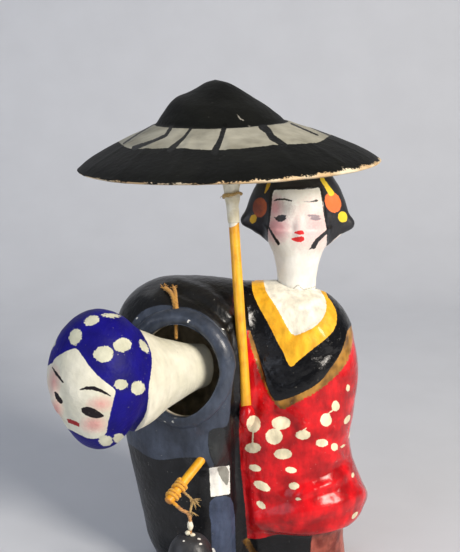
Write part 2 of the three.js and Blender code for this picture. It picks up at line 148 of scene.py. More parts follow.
def bump(x: Array, middle: float, width: float) -> Array:
    """A bell curve of height one, exp of minus the squared distance over the width.

    Args:
        x: where to read it.
        middle: the top of the bell.
        width: how far out it falls to 1/e.

    Returns:
        Values from 0 to 1.
    """
    return np.exp(-(((x - middle) / width) ** 2))


def ramp(x: Array, low: float, high: float) -> Array:
    """A soft step from 0 at low to 1 at high, 3t^2 - 2t^3.

    Args:
        x: where to read it.
        low: where the step starts.
        high: where it ends.

    Returns:
        Values from 0 to 1.
    """
    t = np.clip((x - low) / (high - low), 0, 1)
    return t * t * (3 - 2 * t)


def lattice_noise(p: Array, size: float, seed: int) -> Array:
    """Smooth random lumps: one hashed value a lattice corner, blended by 3t^2 - 2t^3 along each axis.

    Args:
        p: points, in mm.
        size: lattice spacing, in mm.
        seed: picks the pattern.

    Returns:
        One value from -1 to 1 a point.
    """
    q = p / size
    base = np.floor(q).astype(np.int64)
    part = q - base
    part = part * part * (3 - 2 * part)
    total = np.zeros(len(p))
    for corner in range(8):
        step = np.array([corner & 1, (corner >> 1) & 1, (corner >> 2) & 1])
        cell = base + step
        code = cell[:, 0] * 374761393 + cell[:, 1] * 668265263 + cell[:, 2] * 1440662683 + seed * 974711
        code = ((code ^ (code >> 13)) * 1274126177) & 0x7FFFFFFF
        value = ((code ^ (code >> 16)) & 0xFFFF) / 32767.5 - 1
        total += value * np.prod(np.where(step == 1, part, 1 - part), axis=1)
    return total


def pulp(p: Array, size: float, seed: int, octaves: int = 3) -> Array:
    """Lumps of paper pulp: lattice noise added at halved sizes and heights.

    Args:
        p: points, in mm.
        size: the largest lump, in mm.
        seed: picks the pattern.
        octaves: how many sizes are added.

    Returns:
        One value a point, about -1 to 1.
    """
    return sum(lattice_noise(p, size / 2**k, seed + k) / 2**k for k in range(octaves)) / 1.6


@dataclass(frozen=True)
class Table:
    """Rows of numbers read smoothly by their first column, with a cubic between rows."""

    rows: tuple[tuple[float, ...], ...]

    def read(self, at: Array) -> list[Array]:
        """Read every other column.

        Args:
            at: places in the first column, held within its ends.

        Returns:
            One array a column.
        """
        data = np.asarray(self.rows, dtype=float)
        keys = data[:, 0]
        x = np.clip(at, keys[0], keys[-1])
        i = np.clip(np.searchsorted(keys, x, side="left") - 1, 0, len(keys) - 2)
        span = keys[i + 1] - keys[i]
        t = (x - keys[i]) / span
        ends = np.arange(len(keys))
        before, after = np.maximum(ends - 1, 0), np.minimum(ends + 1, len(keys) - 1)
        out = []
        for column in data.T[1:]:
            slope = (column[after] - column[before]) / (keys[after] - keys[before])
            rise = column[i + 1] - column[i]
            m0, m1 = slope[i] * span, slope[i + 1] * span
            out.append(column[i] + t * m0 + t**2 * (3 * rise - 2 * m0 - m1) + t**3 * (m0 + m1 - 2 * rise))
        return out


# Distances, negative inside


def ellipsoid(p: Array, centre: Point, half: Point) -> Array:
    """About how far points lie from an ellipsoid: k(k - 1) over the steepness of k.

    Args:
        p: points, in mm.
        centre: its middle.
        half: its three half widths.

    Returns:
        One distance a point.
    """
    q = (p - np.asarray(centre)) / np.asarray(half)
    near = np.linalg.norm(q, axis=1)
    steep = np.linalg.norm(q / np.asarray(half), axis=1)
    return near * (near - 1) / np.maximum(steep, TINY)


def tapered_rod(p: Array, start: Point, end: Point, r_start: float, r_end: float) -> Array:
    """How far points lie from a round-ended rod whose radius changes evenly.

    Args:
        p: points, in mm.
        start: one end of its line.
        end: the other end.
        r_start: radius at the start.
        r_end: radius at the end.

    Returns:
        One distance a point.
    """
    start, along = np.asarray(start, float), np.asarray(end, float) - np.asarray(start, float)
    t = np.clip((p - start) @ along / (along @ along), 0, 1)
    return np.linalg.norm(p - start - t[:, None] * along, axis=1) - (r_start + (r_end - r_start) * t)


# The picture plane: where the makers' brush edges were read off


@dataclass(frozen=True)
class Viewpoint:
    """The eye that sees the figure as the picture does, in mm and in pixels of a 460 by 552 picture."""

    eye: tuple[float, float, float] = (-4.0, -390.0, 224.0)
    down_deg: float = 14.4
    focal_px: float = 1006.0
    middle_px: tuple[float, float] = (230.0, 276.0)
    tall_px: float = 552.0
    sensor_mm: float = 36.0

    def picture(self, p: Array) -> Array:
        """Project points: right and down shares of the depth, times the focal length.

        Args:
            p: points, in mm.

        Returns:
            Rows of pixel x and y.
        """
        c, s = math.cos(math.radians(self.down_deg)), math.sin(math.radians(self.down_deg))
        x, y, z = (p[:, i] - self.eye[i] for i in range(3))
        depth = y * c - z * s
        rise = y * s + z * c
        return np.stack(
            [self.middle_px[0] + self.focal_px * x / depth, self.middle_px[1] - self.focal_px * rise / depth], axis=1
        )

    def mm_per_px(self, p: Array) -> Array:
        """Size of a pixel at each point, in mm."""
        c, s = math.cos(math.radians(self.down_deg)), math.sin(math.radians(self.down_deg))
        return ((p[:, 1] - self.eye[1]) * c - (p[:, 2] - self.eye[2]) * s) / self.focal_px

    def hit(self, distance: Field, pixel: tuple[float, float]) -> Array:
        """The first point of a field's surface that the eye sees at a pixel.

        Args:
            distance: the field.
            pixel: pixel x and y.

        Returns:
            The point, in mm.
        """
        c, s = math.cos(math.radians(self.down_deg)), math.sin(math.radians(self.down_deg))
        right = (pixel[0] - self.middle_px[0]) / self.focal_px
        rise = (self.middle_px[1] - pixel[1]) / self.focal_px
        aim = unit(np.array([right, c + rise * s, -s + rise * c]))
        point = np.asarray(self.eye) + aim * 250
        for _ in range(120):
            point = point + aim * 0.8 * float(distance(point[None])[0])
        return point

    def faces(self, p: Array, normals: Array) -> Array:
        """How squarely each point's surface faces the eye, from -1 to 1."""
        return np.sum(unit(np.asarray(self.eye) - p) * normals, axis=1)


VIEW = Viewpoint()


def inside_outline(px: Array, outline: Sequence[Point]) -> Array:
    """Signed distance to a closed outline, positive inside, by the nearest edge and a crossing count.

    Args:
        px: rows of x and y.
        outline: the outline's corners.

    Returns:
        One distance a row.
    """
    a = np.asarray(outline, float)
    b = np.roll(a, -1, axis=0)
    best = np.full(len(px), FAR)
    inside = np.zeros(len(px), bool)
    for (ax, ay), (bx, by) in zip(a, b):
        ex, ey = bx - ax, by - ay
        qx, qy = px[:, 0] - ax, px[:, 1] - ay
        t = np.clip((qx * ex + qy * ey) / (ex * ex + ey * ey), 0, 1)
        best = np.minimum(best, (qx - t * ex) ** 2 + (qy - t * ey) ** 2)
        crosses = (ay > px[:, 1]) != (by > px[:, 1])
        reach_x = ax + (px[:, 1] - ay) / (ey if ey else 1e-9) * ex
        inside ^= crosses & (px[:, 0] < reach_x)
    return np.where(inside, 1, -1) * np.sqrt(best)


def rounded(outline: Sequence[Point], passes: int = 2) -> list[tuple[float, float]]:
    """Round an outline's corners by cutting each one off at a quarter of its edges.

    Args:
        outline: the corners.
        passes: how often they are cut.

    Returns:
        The rounded corners.
    """
    pts = np.asarray(outline, float)
    for _ in range(passes):
        nxt = np.roll(pts, -1, axis=0)
        pts = np.stack([0.75 * pts + 0.25 * nxt, 0.25 * pts + 0.75 * nxt], axis=1).reshape(-1, 2)
    return [tuple(p) for p in pts]


def in_ellipse(px: Array, x: float, y: float, rx: float, ry: float, tilt_deg: float = 0) -> Array:
    """About how far points lie inside a tilted ellipse, positive inside.

    Args:
        px: rows of x and y.
        x: its middle, across.
        y: its middle, down.
        rx: half width.
        ry: half height.
        tilt_deg: turn, clockwise in the picture.

    Returns:
        One distance a row.
    """
    c, s = math.cos(math.radians(tilt_deg)), math.sin(math.radians(tilt_deg))
    u = ((px[:, 0] - x) * c + (px[:, 1] - y) * s) / rx
    v = (-(px[:, 0] - x) * s + (px[:, 1] - y) * c) / ry
    return (1 - np.hypot(u, v)) * min(rx, ry)


def near_line(px: Array, points: Sequence[Point], widths: Sequence[float]) -> Array:
    """How far points lie inside a brush stroke along a line of given half widths, positive inside.

    Args:
        px: rows of x and y.
        points: the line's points.
        widths: half width at each point.

    Returns:
        One distance a row.
    """
    best = np.full(len(px), -FAR)
    for (ax, ay), (bx, by), wa, wb in zip(points[:-1], points[1:], widths[:-1], widths[1:]):
        ex, ey = bx - ax, by - ay
        t = np.clip(((px[:, 0] - ax) * ex + (px[:, 1] - ay) * ey) / (ex * ex + ey * ey), 0, 1)
        gap = np.hypot(px[:, 0] - ax - t * ex, px[:, 1] - ay - t * ey)
        best = np.maximum(best, wa + (wb - wa) * t - gap)
    return best


# Meshes on a grid


@dataclass
class Surface:
    """Points and faces of a mesh, in mm."""

    points: Array
    faces: Array

    def normals(self) -> Array:
        """Mean of the normals of the four-cornered faces round each point, by their diagonals.

        Returns:
            One direction a point.
        """
        quads = self.points[self.faces]
        square = np.cross(quads[:, 2] - quads[:, 0], quads[:, 3] - quads[:, 1])
        out = np.zeros_like(self.points)
        for k in range(4):
            np.add.at(out, self.faces[:, k], square)
        return unit(out)


def ring_grid(points: Array, close_rows: bool = False) -> Surface:
    """Faces between rings of points; a ring of equal points closes a pole.

    Args:
        points: an array of rows, columns and 3.
        close_rows: whether the last ring joins the first.

    Returns:
        The surface, turned outwards for rings that rise anticlockwise.
    """
    rows, columns, _ = points.shape
    r = np.arange(rows if close_rows else rows - 1)[:, None]
    c = np.arange(columns)[None, :]
    a = r * columns + c
    b = r * columns + (c + 1) % columns
    up = ((r + 1) % rows) * columns
    faces = np.stack([a, b, up + (c + 1) % columns, up + c], axis=-1).reshape(-1, 4)
    return Surface(points.reshape(-1, 3), faces)


def on_foot(foot: Point, rings: Array) -> Surface:
    """Faces between rings, with the first ring closed at a point."""
    return ring_grid(np.concatenate([np.broadcast_to(np.asarray(foot, float), rings[:1].shape), rings], axis=0))


def reach(distance: Field, origin: Array, aim: Array, farthest: float, step: float = 1.5) -> Array:
    """Walk rays inwards to a field's outermost surface by even steps, then halve the last step.

    Args:
        distance: the field.
        origin: where each ray starts from, inside.
        aim: each ray's direction outwards.
        farthest: how far out the walk starts.
        step: length of a step.

    Returns:
        How far out the surface is on each ray.
    """
    outside = np.full(len(origin), float(farthest))
    going = np.arange(len(origin))
    while len(going) and outside[going].max() > step:
        further = np.maximum(outside[going] - step, 0)
        clear = (distance(origin[going] + aim[going] * further[:, None]) > 0) & (further > 0)
        outside[going[clear]] = further[clear]
        going = going[clear]
    inside = np.maximum(outside - step, 0)
    for _ in range(HALVINGS):
        middle = (inside + outside) / 2
        clear = distance(origin + aim * middle[:, None]) > 0
        outside, inside = np.where(clear, middle, outside), np.where(clear, inside, middle)
    return (inside + outside) / 2


@dataclass(frozen=True)
class Spine:
    """A straight line of stations inside a form, with a fan over its far end."""

    foot: tuple[float, float, float]
    way: tuple[float, float, float]
    length: float

    def rays(self, levels: Array, fan: int, columns: int) -> tuple[Array, Array]:
        """Rays square to the spine at each level, then a fan of rays to its far end.

        Args:
            levels: distances along the spine.
            fan: rings in the fan, its pole among them.
            columns: rays a ring.

        Returns:
            Origins and directions, each of rows, columns and 3.
        """
        way = unit(self.way)
        outward = circle(turns(columns), *across(way, None))
        lift = np.concatenate([np.zeros(len(levels)), np.arange(1, fan + 1) / fan * math.pi / 2])
        station = np.concatenate([levels, np.full(fan, self.length)])
        aim = np.cos(lift)[:, None, None] * outward + np.sin(lift)[:, None, None] * way
        origin = np.asarray(self.foot) + station[:, None, None] * way + np.zeros_like(aim)
        return origin, aim

    def cast(
        self, distance: Field, levels: Array, fan: int, columns: int, farthest: float
    ) -> tuple[Array, Array, Array, tuple[int, ...]]:
        """Send those rays out to a field's surface.

        Args:
            distance: the field.
            levels: distances along the spine.
            fan: rings in the fan.
            columns: rays a ring.
            farthest: how far out the surface is looked for.

        Returns:
            Origins and directions as plain rows, how far out each ray ends, and the shape of the rings.
        """
        origin, aim = self.rays(levels, fan, columns)
        o, a = origin.reshape(-1, 3), aim.reshape(-1, 3)
        return o, a, reach(distance, o, a, farthest), origin.shape


class Paint(Enum):
    """How a painted layer's edge behaves."""

    CRISP = 0.12
    BRUSHED = 0.3
    SOFT = 1.2
    BLUSH = 3.0


def to_linear(hex_colour: str) -> tuple[float, float, float, float]:
    """Turn an sRGB hex colour into linear light.

    Args:
        hex_colour: six hex digits after a hash.

    Returns:
        Red, green, blue and an alpha of one.
    """
    values = [int(hex_colour[i : i + 2], 16) / 255 for i in (1, 3, 5)]
    linear = [v / 12.92 if v <= 0.04045 else ((v + 0.055) / 1.055) ** 2.4 for v in values]
    return (*linear, 1.0)


def add_node(
    tree: bpy.types.NodeTree, kind: str, inputs: Optional[dict] = None, **settings: str
) -> bpy.types.Node:
    """Add a node with its settings, values and links.

    Args:
        tree: the material's node tree.
        kind: the node's type name.
        inputs: by socket name or number, a value or another node's output socket.
        **settings: properties of the node.

    Returns:
        The new node.
    """
    node = tree.nodes.new(kind)
    for name, value in settings.items():
        setattr(node, name, value)
    for key, value in (inputs or {}).items():
        socket = node.inputs[key]
        if isinstance(value, Socket):
            tree.links.new(value, socket)
        else:
            socket.default_value = value
    return node


def new_material(name: str) -> tuple[bpy.types.Material, bpy.types.NodeTree]:
    """Start a node material.

    Args:
        name: its name.

    Returns:
        The material and its empty tree.
    """
    material = bpy.data.materials.new(name)
    material.use_nodes = True
    material.node_tree.nodes.clear()
    return material, material.node_tree


def end_tree(tree: bpy.types.NodeTree, inputs: dict) -> None:
    """End a tree in the main shader, with the given values and links."""
    shader = add_node(tree, "ShaderNodeBsdfPrincipled", inputs)
    add_node(tree, "ShaderNodeOutputMaterial", {"Surface": shader.outputs[0]})


def spread(
    tree: bpy.types.NodeTree, value: Socket, low: float, high: float, first: float = 0.0, last: float = 1.0
) -> Socket:
    """A value stretched from low and high to first and last, and held there."""
    return add_node(tree, "ShaderNodeMapRange", {0: value, 1: low, 2: high, 3: first, 4: last}).outputs[0]


def noise(tree: bpy.types.NodeTree, where: Socket, scale: float, detail: float) -> Socket:
    """Noise with the given number of cells a unit of length."""
    return add_node(tree, "ShaderNodeTexNoise", {"Vector": where, "Scale": scale, "Detail": detail}).outputs[0]


def carried(tree: bpy.types.NodeTree, name: str) -> Socket:
    """A value that the mesh carries at its points."""
    return add_node(tree, "ShaderNodeAttribute", attribute_name=name).outputs["Fac"]


def sum_of(tree: bpy.types.NodeTree, value: Socket, factor: float, rest: Socket | float = 0.0) -> Socket:
    """A value times a factor, plus the rest."""
    return add_node(tree, "ShaderNodeMath", {0: value, 1: factor, 2: rest}, operation="MULTIPLY_ADD").outputs[0]


def laid_over(tree: bpy.types.NodeTree, share: Socket, under: object, over: object) -> Socket:
    """One colour laid over another by a share."""
    return add_node(tree, "ShaderNodeMix", {0: share, 6: under, 7: over}, data_type="RGBA").outputs[2]


@dataclass(frozen=True)
class Layer:
    """One coat of paint over the ones before it, where an attribute is above nought."""

    attribute: str
    colour: str
    edge: Paint = Paint.CRISP
    roughness: float = 0.5
    wobble_mm: float = 0.15
    strength: float = 1.0
    second: Optional[str] = None


@dataclass(frozen=True)
class PaintedPaper:
    """Poster and lacquer paints brushed on papier-mache: coats with crisp edges, lumps of pulp under them,
    brush streaks in their shade, and small flecks where they have worn."""

    name: str
    ground: str
    ground_roughness: float = 0.5
    layers: tuple[Layer, ...] = ()
    second: Optional[str] = None
    streak_mm: float = 3.0
    streak_stretch: tuple[float, float, float] = (1.0, 1.0, 0.35)
    streak_depth: float = 0.28
    lump_mm: float = 1.6
    lump_height: float = 0.25
    fleck: Optional[str] = None
    fleck_share: float = 0.3
    coat: float = 0.0
    specular: float = 0.5

    def build(self) -> bpy.types.Material:
        """Make the material.

        Returns:
            The material, named for its finish.
        """
        material, tree = new_material(self.name)
        where = add_node(tree, "ShaderNodeTexCoord").outputs["Object"]
        brush = add_node(tree, "ShaderNodeMapping", {"Vector": where, "Scale": self.streak_stretch})
        streaks = noise(tree, brush.outputs[0], 1 / (self.streak_mm * MM), 4.0)
        blotches = noise(tree, where, 1 / (self.streak_mm * 3.4 * MM), 3.0)
        shake = sum_of(tree, noise(tree, where, 1 / (0.8 * MM), 3.0), 1.0, -0.5)
        colour = self._shaded(tree, self.ground, self.second, streaks, blotches)
        rough: float | Socket = self.ground_roughness
        for layer in self.layers:
            shaken = sum_of(tree, shake, layer.wobble_mm * 4, carried(tree, layer.attribute))
            half = layer.edge.value / 2
            mask = spread(tree, shaken, -half, half, 0.0, layer.strength)
            own = self._shaded(tree, layer.colour, layer.second, streaks, blotches)
            colour = laid_over(tree, mask, colour, own)
            rough = add_node(tree, "ShaderNodeMix", {0: mask, 2: rough, 3: layer.roughness}).outputs[0]
        if self.fleck:
            spots = spread(tree, noise(tree, where, 1 / (1.1 * MM), 5.0), 0.70, 0.74, 0.0, self.fleck_share)
            colour = laid_over(tree, spots, colour, to_linear(self.fleck))
        lumps = noise(tree, where, 1 / (self.lump_mm * MM), 4.0)
        height = {"Height": sum_of(tree, streaks, 0.35, lumps), "Strength": 1.0, "Distance": self.lump_height * MM}
        end_tree(tree, {
            "Base Color": colour,
            "Roughness": rough,
            "Normal": add_node(tree, "ShaderNodeBump", height).outputs[0],
            "Coat Weight": self.coat,
            "Coat Roughness": 0.18,
            "Specular IOR Level": self.specular,
        })
        return material

    def _shaded(
        self, tree: bpy.types.NodeTree, colour: str, second: Optional[str], streaks: Socket, blotches: Socket
    ) -> Socket:
        """A coat's colour, darker and lighter along the brush, drifting to a second shade in blotches.

        Args:
            tree: the material's tree.
            colour: the coat's colour.
            second: its second shade, if any.
            streaks: noise stretched along the brush.
            blotches: broad noise.

        Returns:
            The shaded colour.
        """
        base: object = to_linear(colour)
        if second:
            base = laid_over(tree, spread(tree, blotches, 0.42, 0.62), base, to_linear(second))
        value = spread(tree, streaks, 0.3, 0.7, 1 - self.streak_depth, 1 + self.streak_depth)
        return add_node(tree, "ShaderNodeHueSaturation", {"Value": value, "Color": base}).outputs[0]


def linked(name: str, surface: Surface) -> bpy.types.Object:
    """A mesh object of a surface, in metres and at the origin, in the scene.

    Args:
        name: the object's name.
        surface: its points and faces, in mm.

    Returns:
        The new object.
    """
    mesh = bpy.data.meshes.new(name)
    mesh.from_pydata((surface.points * MM).tolist(), [], surface.faces.tolist())
    obj = bpy.data.objects.new(name, mesh)
    bpy.context.scene.collection.objects.link(obj)
    return obj


def make_object(
    name: str,
    surface: Surface,
    material: bpy.types.Material,
    body: Body,
    attributes: Optional[dict[str, Array]] = None,
) -> bpy.types.Object:
    """Put a surface into the scene as a smooth mesh object at the origin.

    Args:
        name: the piece's name.
        surface: its points and faces, in mm.
        material: its finish.
        body: the body that it rides on.
        attributes: one value a point, by name.

    Returns:
        The new object.
    """
    obj = linked(name, surface)
    mesh = obj.data
    mesh.validate()
    mesh.shade_smooth()
    for key, values in (attributes or {}).items():
        mesh.attributes.new(key, "FLOAT", "POINT").data.foreach_set("value", values.astype(np.float32))
    mesh.materials.append(material)
    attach(obj, body.value)
    return obj


def merged(obj: bpy.types.Object) -> bpy.types.Object:
    """Merge points that lie on one another, such as those of a pole's ring.

    Args:
        obj: a mesh object.

    Returns:
        The same object.
    """
    bm = bmesh.new()
    bm.from_mesh(obj.data)
    bmesh.ops.remove_doubles(bm, verts=bm.verts, dist=MERGE_M)
    bm.to_mesh(obj.data)
    bm.free()
    return obj


def operand(name: str, surface: Surface) -> bpy.types.Object:
    """A plain mesh object to cut or join with."""
    return merged(linked(name, surface))


def combined(base: bpy.types.Object, others: Sequence[tuple[bpy.types.Object, str]]) -> Surface:
    """Cut and join closed solids.

    Args:
        base: the solid to work on.
        others: solids, each with UNION or DIFFERENCE.

    Returns:
        The result as triangles, in mm.
    """
    for other, operation in others:
        step = base.modifiers.new(other.name, "BOOLEAN")
        step.operation = operation
        step.solver = "MANIFOLD"
        step.object = other
    graph = bpy.context.evaluated_depsgraph_get()
    result = bpy.data.meshes.new_from_object(base.evaluated_get(graph))
    result.calc_loop_triangles()
    points = np.empty(len(result.vertices) * 3)
    result.vertices.foreach_get("co", points)
    faces = np.empty(len(result.loop_triangles) * 3, dtype=np.int64)
    result.loop_triangles.foreach_get("vertices", faces)
    for obj in [base, *[o for o, _ in others]]:
        bpy.data.objects.remove(obj, do_unlink=True)
    # Two triangles on the same three points are slivers that lie back to back: both go, and the skin stays closed
    faces = faces.reshape(-1, 3)
    _, place, count = np.unique(np.sort(faces, axis=1), axis=0, return_inverse=True, return_counts=True)
    used, faces = np.unique(faces[count[place.ravel()] == 1], return_inverse=True)
    return Surface(points.reshape(-1, 3)[used] / MM, faces.reshape(-1, 3))


def rod_surface(start: Point, end: Point, radius: float, columns: int = 32, rows: int = 2) -> Surface:
    """A round rod with flat ends: a circle carried from one point to the other.

    Args:
        start: middle of the first end.
        end: middle of the last end.
        radius: its radius.
        columns: points round it.
        rows: rings along it.

    Returns:
        The closed surface.
    """
    start, end = np.asarray(start, float), np.asarray(end, float)
    outward = circle(turns(columns), *across(unit(end - start), None))
    t = np.concatenate([[0.0], np.linspace(0, 1, rows), [1.0]])
    r = np.concatenate([[0.0], np.full(rows, radius), [0.0]])
    return ring_grid(start + t[:, None, None] * (end - start) + r[:, None, None] * outward)


def globe(rows: int, columns: int) -> Array:
    """Rings of points on a ball of radius one, from its lowest point to its top."""
    tilt, turn = np.linspace(0, math.pi, rows)[:, None], turns(columns)[None, :]
    return np.stack([np.sin(tilt) * np.cos(turn), np.sin(tilt) * np.sin(turn), -np.cos(tilt) + 0 * turn], axis=-1)


@dataclass(frozen=True)
class Skewer:
    """A whittled stick: circles along its line, a little uneven, with eased ends."""

    radius: float
    end_share: float
    columns: int
    rows: int
    rough: float = 0.0
    ease: float = 0.5

    def along(self, foot: Array, way: Array, long: float, axes: tuple[Array, Array]) -> Surface:
        """Lay the stick along a line.

        Args:
            foot: the middle of its first end.
            way: its direction.
            long: its length.
            axes: two directions square to it.

        Returns:
            The closed surface.
        """
        s = np.linspace(0, long, self.rows)
        ends = np.clip(np.minimum(s, long - s) / self.ease, 0, 1)
        r = self.radius * (self.end_share + (1 - self.end_share) * np.sqrt(1 - (1 - ends) ** 2))
        middle = foot + s[:, None] * way
        outward = circle(turns(self.columns), *axes)
        p = middle[:, None, :] + outward * r[:, None, None]
        if self.rough:
            lumps = self.rough * pulp(p.reshape(-1, 3) * [1, 1, 0.2], 1.6, 91)
            p += outward * lumps.reshape(self.rows, self.columns)[..., None]
        caps = [np.broadcast_to(middle[i], (1, self.columns, 3)) for i in (0, -1)]
        return ring_grid(np.concatenate([caps[0], p, caps[1]], axis=0))


@dataclass(frozen=True)
class PoleLine:
    """The line that the umbrella's pole takes between the two figures, and how deep its foot is sunk."""

    foot: tuple[float, float, float] = (2.2, -22.4, 78.7)
    head: tuple[float, float, float] = (-3.8, -8, 166)
    sunk: float = 6

    def way(self) -> Array:
        """Its direction, from its foot up."""
        return unit(np.asarray(self.head) - self.foot)

    def below_foot(self, by: float) -> Array:
        """The point on its line that far below its foot."""
        return np.asarray(self.foot) - self.way() * by


POLE = PoleLine()


# The robes


@dataclass
class RobeShell:
    """The two robes, one hollow shell with the man's neck hole: stacks of ellipses blended together."""

    man: Table = Table(
        (
            (0, -13, -1, 20, 19),
            (10, -17, 0, 21.5, 20),
            (20, -18, 0, 22.5, 20.5),
            (40, -20, 1, 24.5, 21.5),
            (60, -21.5, 3, 26.5, 22.5),
            (80, -22.5, 4, 27.5, 23.5),
            (98, -22, 4, 28.5, 23),
        )
    )
    lady: Table = Table(
        (
            (0, 24, 1, 21.5, 16),
            (15, 24, 1, 20.5, 16.5),
            (18.5, 25, 0.5, 21, 17.5),
            (21.5, 26.5, 0, 24.5, 21.5),
            (30, 27.5, 0, 25.6, 22.5),
            (42, 25.5, 0, 23.2, 21.5),
            (54, 23.5, 0, 22.2, 20.5),
            (68, 24, 0, 23.2, 20.5),
            (84, 24.5, 1, 24, 20.5),
            (96, 24, 2, 23.2, 20),
        )
    )
    man_top: float = 120.8
    lady_top: float = 119
    man_dome: tuple[float, float] = (98, 2.5)
    lady_dome: tuple[float, float] = (90, 2.1)
    chest: tuple[Point, Point] = ((-13, -9, 84), (19.5, 19.5, 34))
    lap: tuple[Point, Point] = ((-14, -4, 30), (17, 19, 34))
    yoke: tuple[Point, Point, float] = ((-27, 3, 105), (13, 4, 104.5), 16)
    lady_side: tuple[Point, Point] = ((10, -3, 50), (12.5, 14.8, 47))
    sleeve: tuple[Point, Point] = ((-13.5, -20, 57), (7.5, 6.8, 8))
    blend: float = 7
    wall: float = 2.6
    spine: Spine = Spine((0, -1, 0), (0, 0, 1), 86)
    columns: int = 400
    levels: int = 112
    fan: int = 70
    farthest: float = 75
    hole_centre: tuple[float, float, float] = (-25, -24.5, 93)
    hole_facing: tuple[float, float, float] = (-0.6, -0.8, 0.08)
    # Middle and half widths of two ovals round the hole's axis: the cut, and the middle of the raised band
    hole_oval: tuple[float, ...] = (-1.2, -1.4, 16.7, 18.2)
    band_oval: tuple[float, ...] = (-1.5, -0.6, 18.4, 20.5)
    band_half: float = 3.3
    band_rise: float = 1.9
    neck_socket: tuple[float, float, float] = (23.1, 5, 8.1)
    mound_half: tuple[float, float, float] = (3.3, 3.6, 5)
    mound_down: float = 5.2
    # Brush edges, read off in the picture plane
    collar_black: tuple[Point, ...] = (
        (236, 276), (244, 300), (247, 323), (250.8, 332.2), (256.6, 349.4), (261.8, 367.6), (266.1, 384.8),
        (270.9, 396.3), (276.6, 402), (292, 397.2), (309.2, 389.6), (321.6, 381), (331.2, 367.6), (339.8, 355.1),
        (344.6, 343.6), (347.9, 327.4), (362, 318), (362, 276),
    )
    collar_gold: tuple[Point, ...] = (
        (247.5, 331.2), (249.9, 342.7), (253.7, 356.1), (258.5, 370.4), (263.3, 382.9), (268, 393.4), (273.8, 402),
        (278.6, 407.7), (282.4, 410.1), (287.2, 407.7), (297.7, 402), (311.1, 395.3), (325.4, 385.7),
        (337.9, 374.3), (346.5, 363.7), (350.3, 353.2), (352.7, 342.7), (353, 322), (345, 325), (322, 368),
        (280, 392), (262, 362), (252, 330),
    )
    collar_yellow: tuple[Point, ...] = (
        (251.8, 276), (251.8, 286), (252.7, 293), (258.5, 306.3), (266.1, 319.7), (272.8, 332.2), (278.6, 344.6),
        (284.3, 354.2), (288.1, 364.7), (292, 367.6), (295.8, 362.8), (311.1, 350.3), (328.3, 337), (336, 327.4),
        (337.4, 314), (333.1, 303.5), (326.9, 296), (320, 276),
    )
    collar_white: tuple[Point, ...] = (
        (263.7, 274), (263.7, 283), (266.1, 292), (274.7, 304.4), (282.4, 317.8), (287.2, 327.4), (292.9, 336),
        (301.5, 333.6), (315.9, 326.4), (323.5, 317.8), (326.9, 308.3), (325.4, 297.7), (318, 287), (316, 274),
    )
    red_front: tuple[Point, ...] = (
        (247, 330), (247, 350), (243.5, 385), (240, 405), (239, 430), (241, 470), (245, 505), (249, 560),
        (400, 560), (400, 296), (330, 300), (296, 340),
    )
    slate: tuple[Point, ...] = (
        (133, 320), (143, 310), (158, 305), (169, 305), (189, 309), (206, 317), (221, 329), (228, 340),
        (234, 369), (233, 381), (231, 398), (229.6, 419.4), (226, 428), (209.2, 429), (207.8, 440.7),
        (209.2, 454.3), (215, 466.9), (209.5, 468), (205.4, 459.2), (193.7, 457.2), (178.2, 457.7),
        (166.6, 459.7), (156.9, 460.1), (145.2, 455.3), (136.5, 448.5), (124, 440), (112, 400), (118, 350),
    )
    # The side of his skirt: the blue-grey darkened as painted shade
    charcoal: tuple[Point, ...] = (
        (209.2, 429.1), (207.8, 440.7), (210.2, 454.3), (216, 466.9), (229.6, 465), (228.6, 452.4),
        (224.8, 438.8), (225.7, 427),
    )
    white_patch: tuple[Point, ...] = ((209.2, 467.9), (229.6, 465.5), (230.1, 494.1), (210.7, 497))
    grey_corner: tuple[Point, ...] = ((217, 466.9), (229.3, 465.8), (228.4, 488.3), (220.9, 478.6), (218, 471.8))
    slate_leg: tuple[Point, ...] = (
        (210.2, 498), (229.6, 495), (234.5, 506.7), (235.9, 552), (236.5, 600), (212.1, 600), (211.7, 526.1),
        (208.8, 511.5),
    )
    white_bit: tuple[Point, ...] = ((209.5, 556), (213.1, 545.5), (217, 556), (216, 575), (210, 575))
    # Each dot: x, y, half width, half height, tilt
    dots: tuple[Point, ...] = (
        (253.5, 424, 7, 8.5, 0), (253, 448, 8, 5, 0), (281, 423, 9.5, 6.5, 0), (274, 436.5, 8.5, 8, 0),
        (303, 435, 7.5, 4.7, 0), (335.6, 406, 4, 5.3, 0), (326, 420, 5.7, 6.6, 0), (348, 388, 2, 3.5, 0),
        (322, 443, 6.3, 4, 0), (334.5, 447, 3.5, 4, 0), (343, 446, 3, 1.2, -30), (283, 454, 9, 5.3, 0),
        (255, 468, 6.3, 3.3, 15), (291, 470, 6, 3, 10), (262, 486, 9, 4.3, 25), (294, 486, 5.2, 3.7, 0),
        (261, 505, 5.5, 3, 40), (298, 499, 3.2, 1.5, 0),
    )
    dot_stems: tuple[tuple[Point, Point], ...] = (
        ((253, 432), (252.5, 444)), ((303, 430), (307, 428)), ((328, 414), (333, 410)), ((281, 429), (276, 431)),
    )
